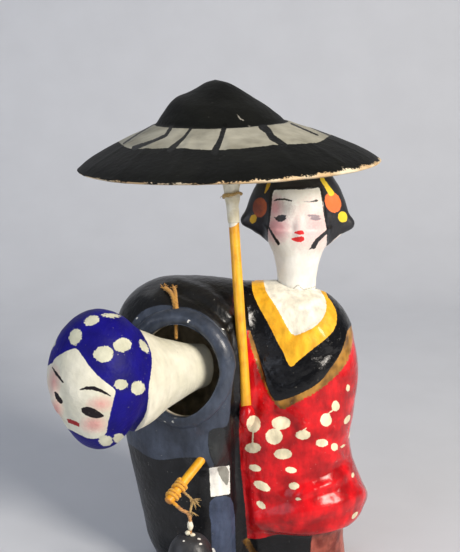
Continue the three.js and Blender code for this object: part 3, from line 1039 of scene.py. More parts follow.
    # Folds pressed in the robes: a line in the picture plane, its half width in pixels and its height in mm
    folds: tuple[tuple[tuple[Point, ...], float, float], ...] = (
        (((170, 288), (200, 300), (218, 314), (231, 328)), 6.5, -1.1),
        (((178, 280), (205, 291), (222, 304), (232, 316)), 7, 0.5),
        (((232, 324), (236, 360), (236, 420), (238, 552)), 7, -1.1),
        (((262, 519), (300, 513), (335, 505), (358, 494)), 15, 1.9),
        (((284, 489), (316, 480), (342, 466)), 10, -1.3),
        (((300, 497), (318, 488), (334, 484)), 5, 0.7),
        (((280, 409), (291, 414), (302, 426)), 9, 1.0),
        (((330, 440), (341, 446), (349, 458)), 6, -0.8),
        (((334, 428), (345, 434)), 6, 0.5),
        (((240, 312), (243, 345), (246, 392)), 8, -1.0),
        (((254, 362), (259, 376)), 5, 0.6),
        (((256, 520), (252, 490)), 7, 0.8),
        (((311, 318), (330, 346)), 8, 0.5),
    )
    gold_stroke: tuple[Point, ...] = ((240, 530), (246, 541), (256, 556))
    red_foot: tuple[Point, ...] = ((314, 524), (360, 520), (362, 560), (310, 560), (311, 543))
    # White specks on the raised band round the neck hole, partly chipped paint and partly painted glints: x, y, half
    # width, half height, tilt
    chips_and_glints: tuple[Point, ...] = (
        (188.6, 321.4, 2.3, 1.6, 10), (136.8, 318.4, 1.6, 0.9, -30), (166, 421.6, 2.6, 0.7, 4),
        (172.5, 422.4, 2.2, 0.8, 0), (223, 329, 1.2, 0.7, 30), (175, 418.4, 1.5, 0.6, -8),
    )
    hidden_dots: int = 34
    hem_height: float = 18.3

    def lobe(self, p: Array, sections: Table, top: float, dome: tuple[float, float]) -> Array:
        """About how far points lie from a stack of ellipses under a dome: k - 1 over the steepness of k, where k^n is
        the n-th power of the share of the way out plus that of the share of the way up.

        Args:
            p: points.
            sections: height, centre and half widths.
            top: height of its top.
            dome: where the dome starts, and its power n.

        Returns:
            One distance a point.
        """
        cx, cy, hx, hy = sections.read(p[:, 2])
        start, power = dome
        up = np.maximum(p[:, 2] - start, 0) / (top - start)
        qx, qy = (p[:, 0] - cx) / hx, (p[:, 1] - cy) / hy
        side = np.maximum(np.hypot(qx, qy), TINY)
        k = np.maximum((side**power + up**power) ** (1 / power), 1e-3)
        steep_side = (side / k) ** (power - 1) * np.hypot(qx / hx, qy / hy) / side
        steep_up = (up / k) ** (power - 1) / (top - start)
        return k * (k - 1) / np.maximum(np.hypot(steep_side, steep_up), TINY) / np.maximum(k, 1)

    def distance(self, p: Array) -> Array:
        """Distance to both robes blended with the man's chest, his lap and the shoulders between them.

        Args:
            p: points, in mm.

        Returns:
            One distance a point.
        """
        bowed = smooth_min(self.lobe(p, self.man, self.man_top, self.man_dome), ellipsoid(p, *self.chest), self.blend)
        bowed = smooth_min(bowed, ellipsoid(p, *self.lap), self.blend)
        bowed = smooth_min(bowed, ellipsoid(p, *self.sleeve), 4)
        upright = self.lobe(p, self.lady, self.lady_top, self.lady_dome)
        upright = smooth_min(upright, ellipsoid(p, *self.lady_side), self.blend)
        both = smooth_min(bowed, upright, 4)
        start, end, radius = self.yoke
        return smooth_min(both, tapered_rod(p, start, end, radius, radius), self.blend)

    def skin(self) -> Surface:
        """The outer skin, where rays from the spine leave the field, with lumps pushed along its normals.

        Returns:
            The closed surface.
        """
        levels = np.linspace(0, self.spine.length, self.levels)
        o, a, t, shape = self.spine.cast(self.distance, levels, self.fan, self.columns, self.farthest)
        surface = ring_grid((o + a * t[:, None]).reshape(shape))
        p, n = surface.points, surface.normals()
        rise = 0.28 * pulp(p, 9, 11) + 0.12 * pulp(p, 2.6, 12) + self.relief(p)
        rise *= ramp(p[:, 2], 0.0, 3.0)
        pushed = p + n * rise[:, None]
        pushed[: self.columns, 2] = 0
        pushed[-self.columns :] = pushed[-self.columns :].mean(axis=0)
        return on_foot(self.spine.foot, pushed.reshape(shape))

    def relief(self, p: Array) -> Array:
        """Low relief of the paint and cloth edges: the collars stand proud and a crease runs down his back.

        Args:
            p: points, in mm.

        Returns:
            One height a point, in mm.
        """
        px = VIEW.picture(p)
        front = ramp(-p[:, 1], -6, 0)
        black = ramp(inside_outline(px, self.collar_black), -2, 2)
        gold = ramp(inside_outline(px, rounded(self.collar_gold, 1)), -1.5, 2)
        white = ramp(inside_outline(px, self.collar_white), -2, 3)
        folds = sum(
            height * ramp(near_line(px, line, (0.0,) * len(line)), -width, 0) for line, width, height in self.folds
        )
        return front * (0.5 * black + 0.3 * gold - 0.5 * white + folds)

    def hole_axes(self) -> tuple[Array, Array, Array]:
        """The way the hole faces, and the two directions across it."""
        facing = unit(self.hole_facing)
        return facing, *across(facing)

    def oval(self, sizes: Sequence[float], columns: int) -> Array:
        """An ellipse round the hole's axis, in the plane through the hole's centre.

        Args:
            sizes: its middle, across and up, and its half widths.
            columns: how many points.

        Returns:
            Rows of points.
        """
        _, sideways, upward = self.hole_axes()
        turn = turns(columns)
        u, v = sizes[0] + sizes[2] * np.cos(turn), sizes[1] + sizes[3] * np.sin(turn)
        return np.asarray(self.hole_centre) + u[:, None] * sideways + v[:, None] * upward

    def band_line(self, columns: int = 220) -> Array:
        """The middle of the raised band, laid on the skin along the hole's axis.

        Args:
            columns: how many points.

        Returns:
            Rows of points.
        """
        facing, _, _ = self.hole_axes()
        start = self.oval(self.band_oval, columns) - facing * 30
        return start + facing * reach(self.distance, start, np.broadcast_to(facing, start.shape), 60)[:, None]

    def slope(self, p: Array, step: float = 0.3) -> Array:
        """The way the field's surface faces, by central differences.

        Args:
            p: points, in mm.
            step: how far to each side the field is read.

        Returns:
            One direction a point.
        """
        return unit(np.stack([self.distance(p + a) - self.distance(p - a) for a in np.eye(3) * step], axis=1))

    def collar(self) -> Surface:
        """The raised band round the neck hole: a flat ellipse that lies on the skin, carried round the hole.

        Returns:
            The closed surface.
        """
        middle = self.band_line()
        normal = self.slope(middle)
        way = unit(np.roll(middle, -2, axis=0) - np.roll(middle, 2, axis=0))
        outward = unit(np.cross(way, normal))
        wave = 1 + 0.2 * pulp(middle, 6, 21)
        round_ = turns(16)
        wide = self.band_half * np.cos(round_)[None, :] * wave[:, None]
        high = -self.band_rise * np.sin(round_)[None, :] * wave[:, None]
        points = middle[:, None, :] + outward[:, None, :] * wide[..., None] + normal[:, None, :] * high[..., None]
        return ring_grid(points, close_rows=True)

    def hole(self) -> Surface:
        """The cut for the neck: the oval carried along the hole's axis, closed at both ends.

        Returns:
            The closed surface.
        """
        facing, _, _ = self.hole_axes()
        edge = self.oval(self.hole_oval, 110)
        near, far = edge - facing * 16, edge + facing * 25
        ends = [np.broadcast_to(ring.mean(axis=0), edge.shape) for ring in (near, far)]
        return ring_grid(np.stack([ends[0], near, far, ends[1]]))

    def inside(self) -> Surface:
        """The hollow: the same rays as the skin, each cut short by the wall.

        Returns:
            The closed surface.
        """
        levels = np.linspace(self.wall, self.spine.length, 26)
        o, a, t, shape = self.spine.cast(self.distance, levels, 18, 80, self.farthest)
        facing = np.clip(np.sum(self.slope(o + a * t[:, None]) * a, axis=1), 0.6, 1)
        t = np.maximum(t - self.wall / facing, 0.5)
        return on_foot(np.asarray(self.spine.foot) + [0, 0, self.wall], (o + a * t[:, None]).reshape(shape))

    def mound(self) -> Surface:
        """The dab of paste that holds the pole's foot."""
        return ring_grid(globe(25, 40) * np.asarray(self.mound_half) + POLE.below_foot(self.mound_down))

    def build(self) -> Surface:
        """Join and cut the shell.

        Returns:
            The finished shell, in triangles.
        """
        x, y, r = self.neck_socket
        foot = POLE.below_foot(POLE.sunk + 0.3)
        return combined(
            operand("skin", self.skin()),
            [
                (operand("mound", self.mound()), "UNION"),
                (operand("collar", self.collar()), "UNION"),
                (operand("hollow", self.inside()), "DIFFERENCE"),
                (operand("hole", self.hole()), "DIFFERENCE"),
                (operand("socket", rod_surface((x, y, 107), (x, y, 140), r, 48)), "DIFFERENCE"),
                (operand("pole_socket", rod_surface(foot, POLE.head, 2.05, 24)), "DIFFERENCE"),
            ],
        )

    def paints(self, s: Surface) -> dict[str, Array]:
        """Distances to every painted edge, in mm, positive where the paint lies.

        Args:
            s: the finished shell.

        Returns:
            One array for each painted area.
        """
        p = s.points
        px, scale = VIEW.picture(p), VIEW.mm_per_px(p)
        front = 3.0 - p[:, 1]
        ring = np.hypot(p[:, 0] - 21.5, (p[:, 1] - 4) * 1.1)
        lady_side = p[:, 0] - 1.5

        def shape(outline: Sequence[Point], passes: int = 1) -> Array:
            """How far points lie inside a rounded outline, in mm."""
            return inside_outline(px, rounded(outline, passes)) * scale

        def round_about(ahead: Array, behind: Array) -> Array:
            """One distance on the front, and another on the back."""
            return np.maximum(np.minimum(ahead, front), np.minimum(behind, -front))

        above = p[:, 2] - self.hem_height + 4.5 * (1 - ramp(p[:, 0], 3, 18)) * ramp(front, 3, 12)
        black = round_about(shape(self.collar_black), np.minimum(lady_side, p[:, 2] - 101))
        stroke = np.minimum(near_line(px, self.gold_stroke, (2.2, 3.2, 3.0)) * scale, -above)
        gold = round_about(
            np.maximum(shape(self.collar_gold), stroke), np.minimum(lady_side, 1.2 - np.abs(p[:, 2] - 99.8))
        )
        yellow = round_about(shape(self.collar_yellow), 15.5 - ring)
        white = round_about(shape(self.collar_white), 12 - ring)
        red = np.minimum(round_about(shape(self.red_front, 0), np.minimum(lady_side, 101 - p[:, 2])), above)
        dots = np.max([in_ellipse(px, *dot) for dot in self.dots], axis=0)
        stems = np.max([near_line(px, stem, (0.7, 0.7)) for stem in self.dot_stems], axis=0)
        dots = np.minimum(np.maximum(dots, stems) * scale, front)
        for i in range(self.hidden_dots):
            share = (i + 0.5) / self.hidden_dots
            z = 26 + 66 * ((i * GOLDEN_SHARE) % 1)
            angle = math.radians(-42 + 232 * share)
            if angle < math.radians(-5) and z > 70:
                continue
            cx, cy, hx, hy = (float(v[0]) for v in self.lady.read(np.array([z])))
            at = np.array([cx + hx * math.cos(angle), cy + hy * math.sin(angle), z])
            far = np.linalg.norm((p - at) / np.array([1, 1, 0.62]), axis=1)
            dots = np.maximum(dots, np.minimum(2.3 + 0.8 * math.sin(i * 2.4) - far, lady_side - 3))
        depth = -self.distance(p)
        # The band's white specks, painted glints among them, go in with the white patch
        chips_and_glints = np.max([in_ellipse(px, *white_speck) for white_speck in self.chips_and_glints], axis=0) * scale
        return {
            "black_collar": black,
            "gold": gold,
            "yellow": yellow,
            "white": white,
            "red": red,
            "dots": np.minimum(dots, red + 0.6),
            "slate": np.minimum(np.maximum(shape(self.slate), self._around_hole(p)), front + 6),
            # Painted shade at the side of his skirt
            "charcoal": np.minimum(shape(self.charcoal), front),
            "patch": np.minimum(np.max([shape(self.white_patch, 0), shape(self.white_bit), chips_and_glints], axis=0), front),
            "patch_grey": np.minimum(shape(self.grey_corner), front),
            "leg": np.minimum(shape(self.slate_leg), front),
            # The inside of the shell: bare paper, made pale as painted light so that the wall seen through the neck
            # hole looks lit
            "hollow": depth + np.minimum(self.relief(p), 0) - self.wall / 2 - 0.05,
            "shadow_red": np.minimum(np.minimum(shape(self.red_foot), self.hem_height + 1 - p[:, 2]), front),
            "smudge": np.minimum(
                np.maximum(in_ellipse(px, 235, 300, 2.2, 5), in_ellipse(px, 233, 310, 2.5, 4)) * scale, front
            ),
        }

    def _around_hole(self, p: Array) -> Array:
        """How far points lie inside the band round the neck hole: its half width less the way to its middle.

        Args:
            p: points, in mm.

        Returns:
            One distance a point.
        """
        near = np.full(len(p), FAR)
        for point in self.band_line(110):
            near = np.minimum(near, np.sum((p - point) ** 2, axis=1))
        return self.band_half + 0.5 - np.sqrt(near)


# Poster paints under a thin lacquer: deep black and wet-looking red, dull slate, and thick cream dots on top
ROBE_PAINT = PaintedPaper(
    name="painted_robes",
    ground="#0D0E10",
    second="#141518",
    ground_roughness=0.42,
    specular=0.22,
    layers=(
        Layer("slate", "#3E4655", Paint.BRUSHED, 0.46, second="#333A47"),
        # Painted shade: dark grey for the blue-grey at the side of his skirt
        Layer("charcoal", "#26292B", Paint.CRISP, 0.5),
        Layer("leg", "#414C64", Paint.CRISP, 0.5, second="#353F55"),
        # White under-cloth, and the raised band's white specks, partly painted glints
        Layer("patch", "#E6E6E0", Paint.CRISP, 0.6),
        Layer("patch_grey", "#8C8C84", Paint.CRISP, 0.6),
        Layer("smudge", "#6B1518", Paint.SOFT, 0.4, strength=0.8),
        Layer("shadow_red", "#A8584A", Paint.BRUSHED, 0.4, second="#6E2A20", strength=0.9),
        Layer("red", "#D4121A", Paint.BRUSHED, 0.2, second="#9E080F"),
        Layer("dots", "#F3E9C6", Paint.CRISP, 0.5, second="#D9CFAE"),
        Layer("gold", "#AC7C34", Paint.BRUSHED, 0.36, second="#543810", wobble_mm=0.5),
        Layer("black_collar", "#07070A", Paint.CRISP, 0.2),
        Layer("yellow", "#EDB228", Paint.CRISP, 0.5, second="#DFA01C"),
        Layer("white", "#EBE8DA", Paint.CRISP, 0.6, second="#DAD5C4"),
        # Bare paper inside the shell, paler than it is: painted light on the wall seen through the neck hole
        Layer("hollow", "#D6CDB8", Paint.SOFT, 0.85, second="#A99F8C"),
    ),
    streak_mm=2.6,
    streak_depth=0.22,
    lump_mm=1.7,
    lump_height=0.32,
    fleck="#C9C6BA",
    fleck_share=0.25,
    coat=0.32,
)


# Paths and tubes


def smooth_path(points: Sequence[Point], spacing: float) -> Array:
    """An even walk along a smooth curve, cubic between its points with central slopes.

    Args:
        points: the points that the curve runs through, in mm.
        spacing: distance between the points given back.

    Returns:
        Rows of points.
    """
    pts = np.asarray(points, float)
    chord = lengths(pts)
    table = Table(tuple((c, *p) for c, p in zip(chord, pts)))
    fine = np.linspace(0, chord[-1], max(60, int(chord[-1] / spacing) * 4))
    curve = np.stack(table.read(fine), axis=1)
    length = lengths(curve)
    even = np.linspace(0, length[-1], max(4, int(length[-1] / spacing)))
    return np.stack([np.interp(even, length, curve[:, i]) for i in range(3)], axis=1)


@dataclass(frozen=True)
class Twine:
    """Twisted twine: a tube whose section has one lobe a strand, and the lobes wind along it."""

    diameter: float
    strands: int = 3
    lay_mm: float = 4.2
    depth: float = 0.14
    columns: int = 18

    def along(self, path: Array, taper: float = 0.0) -> tuple[Surface, dict[str, Array]]:
        """Carry the section along a path, turned as little as possible from one ring to the next.

        The radius is r(1 + depth cos(strands (angle + 2 pi s / lay))), closed by round ends.

        Args:
            path: evenly spaced points, in mm.
            taper: how much thinner its last end is, as a share.

        Returns:
            The surface, and its length and turn at every point.
        """
        way = unit(np.gradient(path, axis=0))
        side = np.empty_like(path)
        helper = np.array([1.0, 0, 0]) if abs(way[0][0]) < 0.8 else np.array([0, 1.0, 0])
        side[0] = unit(np.cross(way[0], helper))
        for i in range(1, len(path)):
            side[i] = unit(side[i - 1] - way[i] * (side[i - 1] @ way[i]))
        other = np.cross(way, side)
        s, turn = lengths(path), turns(self.columns)
        lobes = 1 + self.depth * np.cos(self.strands * (turn[None, :] + TAU * s[:, None] / self.lay_mm))
        radius = self.diameter / 2 * (1 - taper * s / s[-1])
        ends = np.minimum(s, s[-1] - s) / (self.diameter / 2)
        radius = radius * np.sqrt(np.clip(1 - (1 - np.clip(ends, 0, 1)) ** 2, 0, 1))
        r = radius[:, None] * lobes / (1 + self.depth / 2)
        ring = side[:, None] * np.cos(turn)[:, None] + other[:, None] * np.sin(turn)[:, None]
        surface = ring_grid(path[:, None, :] + ring * r[..., None])
        length = np.repeat(s, self.columns)
        spun = (np.tile(turn, len(path)) / TAU + length / self.lay_mm) * self.strands
        return surface, {"length_mm": length, "spun": spun}


def whisker(
    start: Array, bend: Array, tip: Array, diameter: float, spacing: float = 0.15
) -> tuple[Surface, dict[str, Array]]:
    """One frayed strand.

    Args:
        start: where it leaves the string.
        bend: a point on its way.
        tip: its end.
        diameter: its thickness at the start.
        spacing: length of its steps.

    Returns:
        Its surface and values.
    """
    return Twine(diameter, 2, 1.5, 0.1, 6).along(smooth_path((start, bend, tip), spacing), taper=0.6)


@dataclass(frozen=True)
class TwineFibre:
    """Jute twine, loosely spun: fine fibres that run with the strands, light on their tops and dark between."""

    name: str
    light: str
    dark: str
    paint: Optional[str] = None
    fibre_mm: float = 0.35

    def build(self) -> bpy.types.Material:
        """Make the material; where the attribute paint_mm is above nought, the twine is painted over.

        Returns:
            The material, named for its stuff.
        """
        material, tree = new_material(self.name)
        along = sum_of(tree, carried(tree, "length_mm"), 0.12 / self.fibre_mm)
        round_ = sum_of(tree, carried(tree, "spun"), 5.0)
        where = add_node(tree, "ShaderNodeCombineXYZ", {"X": along, "Y": round_}).outputs[0]
        fibres = noise(tree, where, 1.6, 5.0)
        colour = laid_over(tree, spread(tree, fibres, 0.35, 0.62), to_linear(self.dark), to_linear(self.light))
        if self.paint:
            mask = spread(tree, carried(tree, "paint_mm"), -0.6, 0.8, 0.0, 0.92)
            colour = laid_over(tree, mask, colour, to_linear(self.paint))
        bumped = add_node(tree, "ShaderNodeBump", {"Height": fibres, "Strength": 1.0, "Distance": 0.18 * MM})
        end_tree(tree, {
            "Base Color": colour,
            "Roughness": 0.82,
            "Normal": bumped.outputs[0],
            "Sheen Weight": 0.25,
            "Sheen Roughness": 0.5,
        })
        return material


# The studio


@dataclass
class Studio:
    """Camera at the picture's place, a pale floor that curves up behind, and three soft lights."""

    floor_colour: str = "#CDD0D6"
    floor_half: float = 2600
    wall_distance: float = 620
    wall_height: float = 1900
    bend_radius: float = 260

    def camera(self) -> None:
        """Stand the camera where the picture was taken, with its lens worked out from the focal length in pixels."""
        data = bpy.data.cameras.new("camera")
        data.sensor_width = VIEW.sensor_mm
        data.lens = VIEW.focal_px / VIEW.tall_px * VIEW.sensor_mm
        data.clip_start = 10 * MM
        data.clip_end = 20000 * MM
        obj = bpy.data.objects.new("camera", data)
        obj.location = np.asarray(VIEW.eye) * MM
        obj.rotation_euler = (math.radians(90 - VIEW.down_deg), 0, 0)
        bpy.context.scene.collection.objects.link(obj)
        bpy.context.scene.camera = obj

    def floor(self) -> None:
        """A floor that runs back, turns up through a quarter circle and rises: one profile swept sideways."""
        bend = np.linspace(0, math.pi / 2, 40)
        back = self.wall_distance - self.bend_radius
        y = np.concatenate([[-self.floor_half], back + self.bend_radius * np.sin(bend), [self.wall_distance]])
        z = np.concatenate([[0], self.bend_radius * (1 - np.cos(bend)), [self.wall_height]])
        x = np.array([-self.floor_half, self.floor_half])
        grid = np.stack([np.tile(x, (len(y), 1)), np.tile(y[:, None], 2), np.tile(z[:, None], 2)], axis=-1)
        rows = np.arange(len(y) - 1)[:, None] * 2
        faces = np.concatenate([rows, rows + 1, rows + 3, rows + 2], axis=1)
        obj = linked("floor", Surface(grid.reshape(-1, 3), faces))
        obj.data.shade_smooth()
        obj.data.materials.append(self._floor_finish())

    def _floor_finish(self) -> bpy.types.Material:
        """Matt pale paint on card: an even tone with a faint mottle.

        Returns:
            The material.
        """
        material, tree = new_material("pale_floor")
        where = add_node(tree, "ShaderNodeTexCoord").outputs["Object"]
        value = spread(tree, noise(tree, where, 30.0, 3.0), 0.3, 0.7, 0.98, 1.02)
        tone = add_node(tree, "ShaderNodeHueSaturation", {"Value": value, "Color": to_linear(self.floor_colour)})
        end_tree(tree, {"Base Color": tone.outputs[0], "Roughness": 0.85})
        return material

    @staticmethod
    def lamp(name: str, place: Point, size: float, watts: float, colour: str, aim: Point = (0, 0, 90)) -> None:
        """One square soft light.

        Args:
            name: its name.
            place: where it stands, in mm.
            size: its side, in mm.
            watts: its power.
            colour: its colour.
            aim: the point that it faces, in mm.
        """
        data = bpy.data.lights.new(name, "AREA")
        data.size = size * MM
        data.energy = watts
        data.color = to_linear(colour)[:3]
        obj = bpy.data.objects.new(name, data)
        obj.location = np.asarray(place) * MM
        way = unit(np.asarray(place, float) - np.asarray(aim, float))
        turned = np.eye(4)
        turned[:3, :3] = np.stack([*across(way), way], axis=1)
        turned[:3, 3] = np.asarray(place) * MM
        obj.matrix_world = Matrix(turned.tolist())
        bpy.context.scene.collection.objects.link(obj)

    def lights(self) -> None:
        """A large key from the right front, a weak fill from the left, and an even sky."""
        self.lamp("key", (620, -640, 560), 300, 12.0, "#FFF6EA")
        self.lamp("fill", (-760, -620, 380), 700, 3.2, "#E6EEFF")
        self.lamp("back", (-250, 380, 800), 600, 1.0, "#FFFFFF")
        world = bpy.data.worlds.new("sky")
        world.use_nodes = True
        world.node_tree.nodes["Background"].inputs["Color"].default_value = to_linear("#D5DAE2")
        world.node_tree.nodes["Background"].inputs["Strength"].default_value = 0.27
        bpy.context.scene.world = world

    def build(self) -> None:
        """Make the whole studio."""
        self.camera()
        self.floor()
        self.lights()
        bpy.context.scene.view_settings.view_transform = "Standard"


# The bowed man's head


@dataclass
class BowedHead:
    """The man's head and neck, one hollow shell: an egg with a cone drawn out of its back, open at the far end."""

    centre: tuple[float, float, float] = (-52, -41, 95)
    half: tuple[float, float, float] = (19.5, 19, 26.5)
    facing: tuple[float, float, float] = (-0.77, -0.63, 0.04)
    wall: float = 2.4
    nose_length: float = 2.2
    chin_slimness: float = 0.2
    neck_way: tuple[float, float, float] = (0.79, 0.605, -0.045)
    neck_drop: float = 2.3
    neck_length: float = 47
    slimness: float = 0.8
    neck: Table = Table(((12, 20), (19, 18), (26, 14.6), (33, 12.2), (40, 10), (47, 8.7)))
    columns: int = 320
    levels: int = 88
    fan: int = 100
    scarf_edge: tuple[Point, ...] = (
        (20, 290), (120, 290), (135, 322), (144.5, 337), (149.5, 347), (152.3, 358), (151.2, 371.4), (148.6, 389),
        (148.4, 402), (145.6, 415), (138.2, 426.3), (129.3, 437.8), (118, 470), (20, 470),
    )
    face_edge: tuple[Point, ...] = (
        (30, 374), (52.3, 364), (54.5, 358.5), (61, 354), (69, 350), (75.5, 348), (79, 351), (84, 358.5),
        (90, 367), (97, 375), (106, 382.5), (116, 389.8), (114.4, 396), (111, 411), (107.6, 424), (106.4, 435),
        (97, 438.8), (88, 438.6), (79, 434.5), (73, 431), (60, 425), (30, 440),
    )
    spots: tuple[Point, ...] = (
        (52.4, 343, 3, 8, 24), (75.4, 337, 6.3, 8.3, 18), (91.7, 320.5, 7.8, 4.8, -20), (111, 315.5, 9, 2, 4),
        (103.6, 354.2, 10, 8.2, -6), (122.5, 345, 9.3, 7, -8), (144, 346.5, 3.4, 7.5, -34), (120.8, 384.4, 7, 5.3, 0),
        (137.8, 388, 7, 7, 0), (105.6, 440.8, 7, 5.3, 0), (119, 438.3, 5.6, 5, -10), (127.5, 437.5, 1, 1, 0),
    )
    far_spots: int = 16

    def distance(self, p: Array) -> Array:
        """Distance to the skull, the slimmed cone of the neck and the nose, softly joined.

        Args:
            p: points, in mm.

        Returns:
            One distance a point.
        """
        facing, way = unit(self.facing), unit(self.neck_way)
        side, _ = across(facing)
        q = p - np.asarray(self.centre)
        low = q[:, 2] - facing[2] * (q @ facing)
        slim = 1 + self.chin_slimness * ramp(-low, -2, 21)
        own = np.stack([q @ side * slim, q @ facing * slim, low], axis=1)
        skull = ellipsoid(own, (0, 0, 0), self.half)
        nose = ellipsoid(own, (0, self.half[1] - 1, -4.5), (2.4, self.nose_length, 5))
        q = q + [0, 0, self.neck_drop]
        along = q @ way
        (radius,) = self.neck.read(along)
        neck_side, _ = across(way)
        off = q - along[:, None] * way
        sideways = off @ neck_side
        off = off + (sideways / self.slimness - sideways)[:, None] * neck_side
        cone = np.maximum(np.linalg.norm(off, axis=1) - radius, self.neck.rows[0][0] - along)
        return smooth_min(smooth_min(skull, cone, 4), nose, 3)

    def shell(self) -> Surface:
        """One sheet folded back at the neck's end: inside from its pole to the lip, then outside to its own pole.

        Returns:
            The closed surface.
        """
        way = -unit(self.neck_way)
        foot = np.asarray(self.centre) - way * self.neck_length
        spine = Spine(tuple(foot), tuple(way), self.neck_length)
        levels = np.linspace(0, self.neck_length, self.levels)
        o, a, t, shape = spine.cast(self.distance, levels, self.fan, self.columns, self.neck_length)
        p = o + a * t[:, None]
        lumps = 0.2 * pulp(p, 8, 31) + 0.07 * pulp(p, 2.4, 32)
        t = t + lumps * ramp(np.repeat(np.arange(shape[0]), self.columns), 0, 6)
        outer = (o + a * t[:, None]).reshape(shape)
        rows = np.unique(np.concatenate([np.arange(0, self.levels, 4), np.arange(self.levels, len(outer), 5)]))
        rows = np.append(rows, len(outer) - 1)
        thin = np.maximum(t.reshape(shape[:2])[rows] - self.wall * 1.12, 0.4)
        inner = o.reshape(shape)[rows] + a.reshape(shape)[rows] * thin[..., None]
        fold = np.linspace(0, math.pi, 8)[1:-1, None, None]
        middle, half = (inner[0] + outer[0]) / 2, (inner[0] - outer[0]) / 2
        lip = middle + np.cos(fold) * half - way * np.sin(fold) * self.wall * 0.3
        return ring_grid(np.concatenate([inner[::-1], lip, outer], axis=0))

    def paints(self, s: Surface) -> dict[str, Array]:
        """Distances to the painted edges; the far side's scarf and spots are laid out in the round.

        Args:
            s: the finished shell.

        Returns:
            One array for each painted area.
        """
        p, n = s.points, s.normals()
        px, scale = VIEW.picture(p), VIEW.mm_per_px(p)
        seen = VIEW.faces(p, n)
        facing, way = unit(self.facing), unit(self.neck_way)
        side, _ = across(facing)
        q = p - np.asarray(self.centre)
        own_side, own_front = q @ side, q @ facing
        near = seen > 0.02
        direct_face = inside_outline(px, rounded(self.face_edge, 1)) * scale
        wrapped = 15.5 - np.hypot(own_side * 0.86, q[:, 2] + 6) + np.minimum(own_front - 8, 0) * 0.8
        face = np.where(near, direct_face, wrapped)
        back = np.minimum(17.5 - q @ way + 0.8 * np.sin(q[:, 2] / 5), 12)
        scarf = np.where(near, inside_outline(px, rounded(self.scarf_edge, 1)) * scale, back)
        scarf = np.minimum(scarf, -face)
        hollow = -self.distance(p) - 1.2
        spots = np.max([in_ellipse(px, *spot) for spot in self.spots], axis=0) * scale
        spots = np.where(near, spots, -2)
        for i in range(self.far_spots):
            height = 1 - 2 * (i + 0.5) / self.far_spots
            angle = i * GOLDEN_ANGLE + 0.6
            round_ = math.sqrt(1 - height * height)
            at = np.array([round_ * math.cos(angle), round_ * math.sin(angle), height])
            place = at * np.array([19.5, 19.5, 26]) * 0.98
            size = 2.9 + 0.7 * math.sin(i * 1.7)
            spots = np.maximum(spots, np.where(seen < 0.06, size - np.linalg.norm(q - place, axis=1), -2))
        brow = ((79.8, 389.6), (86, 388.2), (93, 388), (101, 390.8), (111, 396.2))
        far_brow = ((52.4, 367.5), (57, 374.5), (63, 382.3))
        brows = np.maximum(
            near_line(px, brow, (0.3, 1.5, 2.0, 1.7, 0.4)), near_line(px, far_brow, (0.5, 1.3, 0.8))
        )
        eye = ((80.6, 408.8), (84, 407), (91, 406.8), (95.5, 409.6), (99.5, 412), (104.8, 416.2), (101.4, 417.6),
               (95, 418.6), (88, 416.4), (82, 412.8))
        far_eye = ((54, 390.8), (57, 392.4), (61, 398), (63.2, 402), (61.6, 404.2), (58.4, 402.6), (55, 397))
        dark = np.max([brows, inside_outline(px, rounded(eye, 1)), inside_outline(px, rounded(far_eye, 1))], axis=0)
        lips = inside_outline(px, ((66.6, 418.6), (71, 419.4), (75, 421), (79.4, 423.4), (79.2, 427), (73, 424.6),
                                   (68.4, 422.6)))
        blush = np.max([
            0.8 - np.hypot((px[:, 0] - 94) / 10.5, (px[:, 1] - 424.5) / 6.5) * 0.8,
            0.55 - np.hypot((px[:, 0] - 101) / 9, (px[:, 1] - 404) / 5) * 0.55,
            0.7 - np.hypot((px[:, 0] - 56) / 5, (px[:, 1] - 410) / 9) * 0.7,
            0.5 - np.hypot((px[:, 0] - 54) / 4, (px[:, 1] - 382) / 10) * 0.5,
        ], axis=0)
        return {
            "scarf": np.where(hollow > 0, BARE, scarf),
            "spots": np.minimum(spots, scarf + 0.9),
            "dark": np.where(near, np.minimum(dark * scale, face + 0.3), BARE),
            "lips": np.where(near, lips * scale, BARE),
            "blush": np.where(near, blush * 3, BARE),
            "hollow": hollow,
        }

    def build(self) -> None:
        """Make the head and dress it."""
        surface = self.shell()
        obj = make_object(
            "bowed_head", surface, BOWED_HEAD_PAINT.build(), Body.HEAD, self.paints(surface)
        )
        merged(obj)
        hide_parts("bowing_head")
        LOG.info("bowed head: %d faces", len(obj.data.polygons))


# Chalk ground, matt and a little yellowed, with a blue that dries nearly as matt and lies in one even coat
BOWED_HEAD_PAINT = PaintedPaper(
    name="chalk_ground_and_blue_lacquer",
    ground="#D3D0BC",
    second="#E0DDCB",
    ground_roughness=0.62,
    layers=(
        Layer("blush", "#D98F8A", Paint.BLUSH, 0.6, strength=0.75, wobble_mm=0.4),
        Layer("scarf", "#0C0478", Paint.CRISP, 0.55, second="#090364"),
        Layer("spots", "#CFCFBA", Paint.CRISP, 0.6, second="#BDBDA6", wobble_mm=0.35),
        Layer("dark", "#1A1418", Paint.CRISP, 0.5),
        Layer("lips", "#9E1A1E", Paint.CRISP, 0.5),
        Layer("hollow", "#7A7264", Paint.SOFT, 0.85),
    ),
    streak_mm=3.0,
    streak_depth=0.09,
    lump_mm=1.4,
    lump_height=0.2,
    fleck="#A8A594",
    fleck_share=0.5,
    specular=0.2,
)


# The lady's head


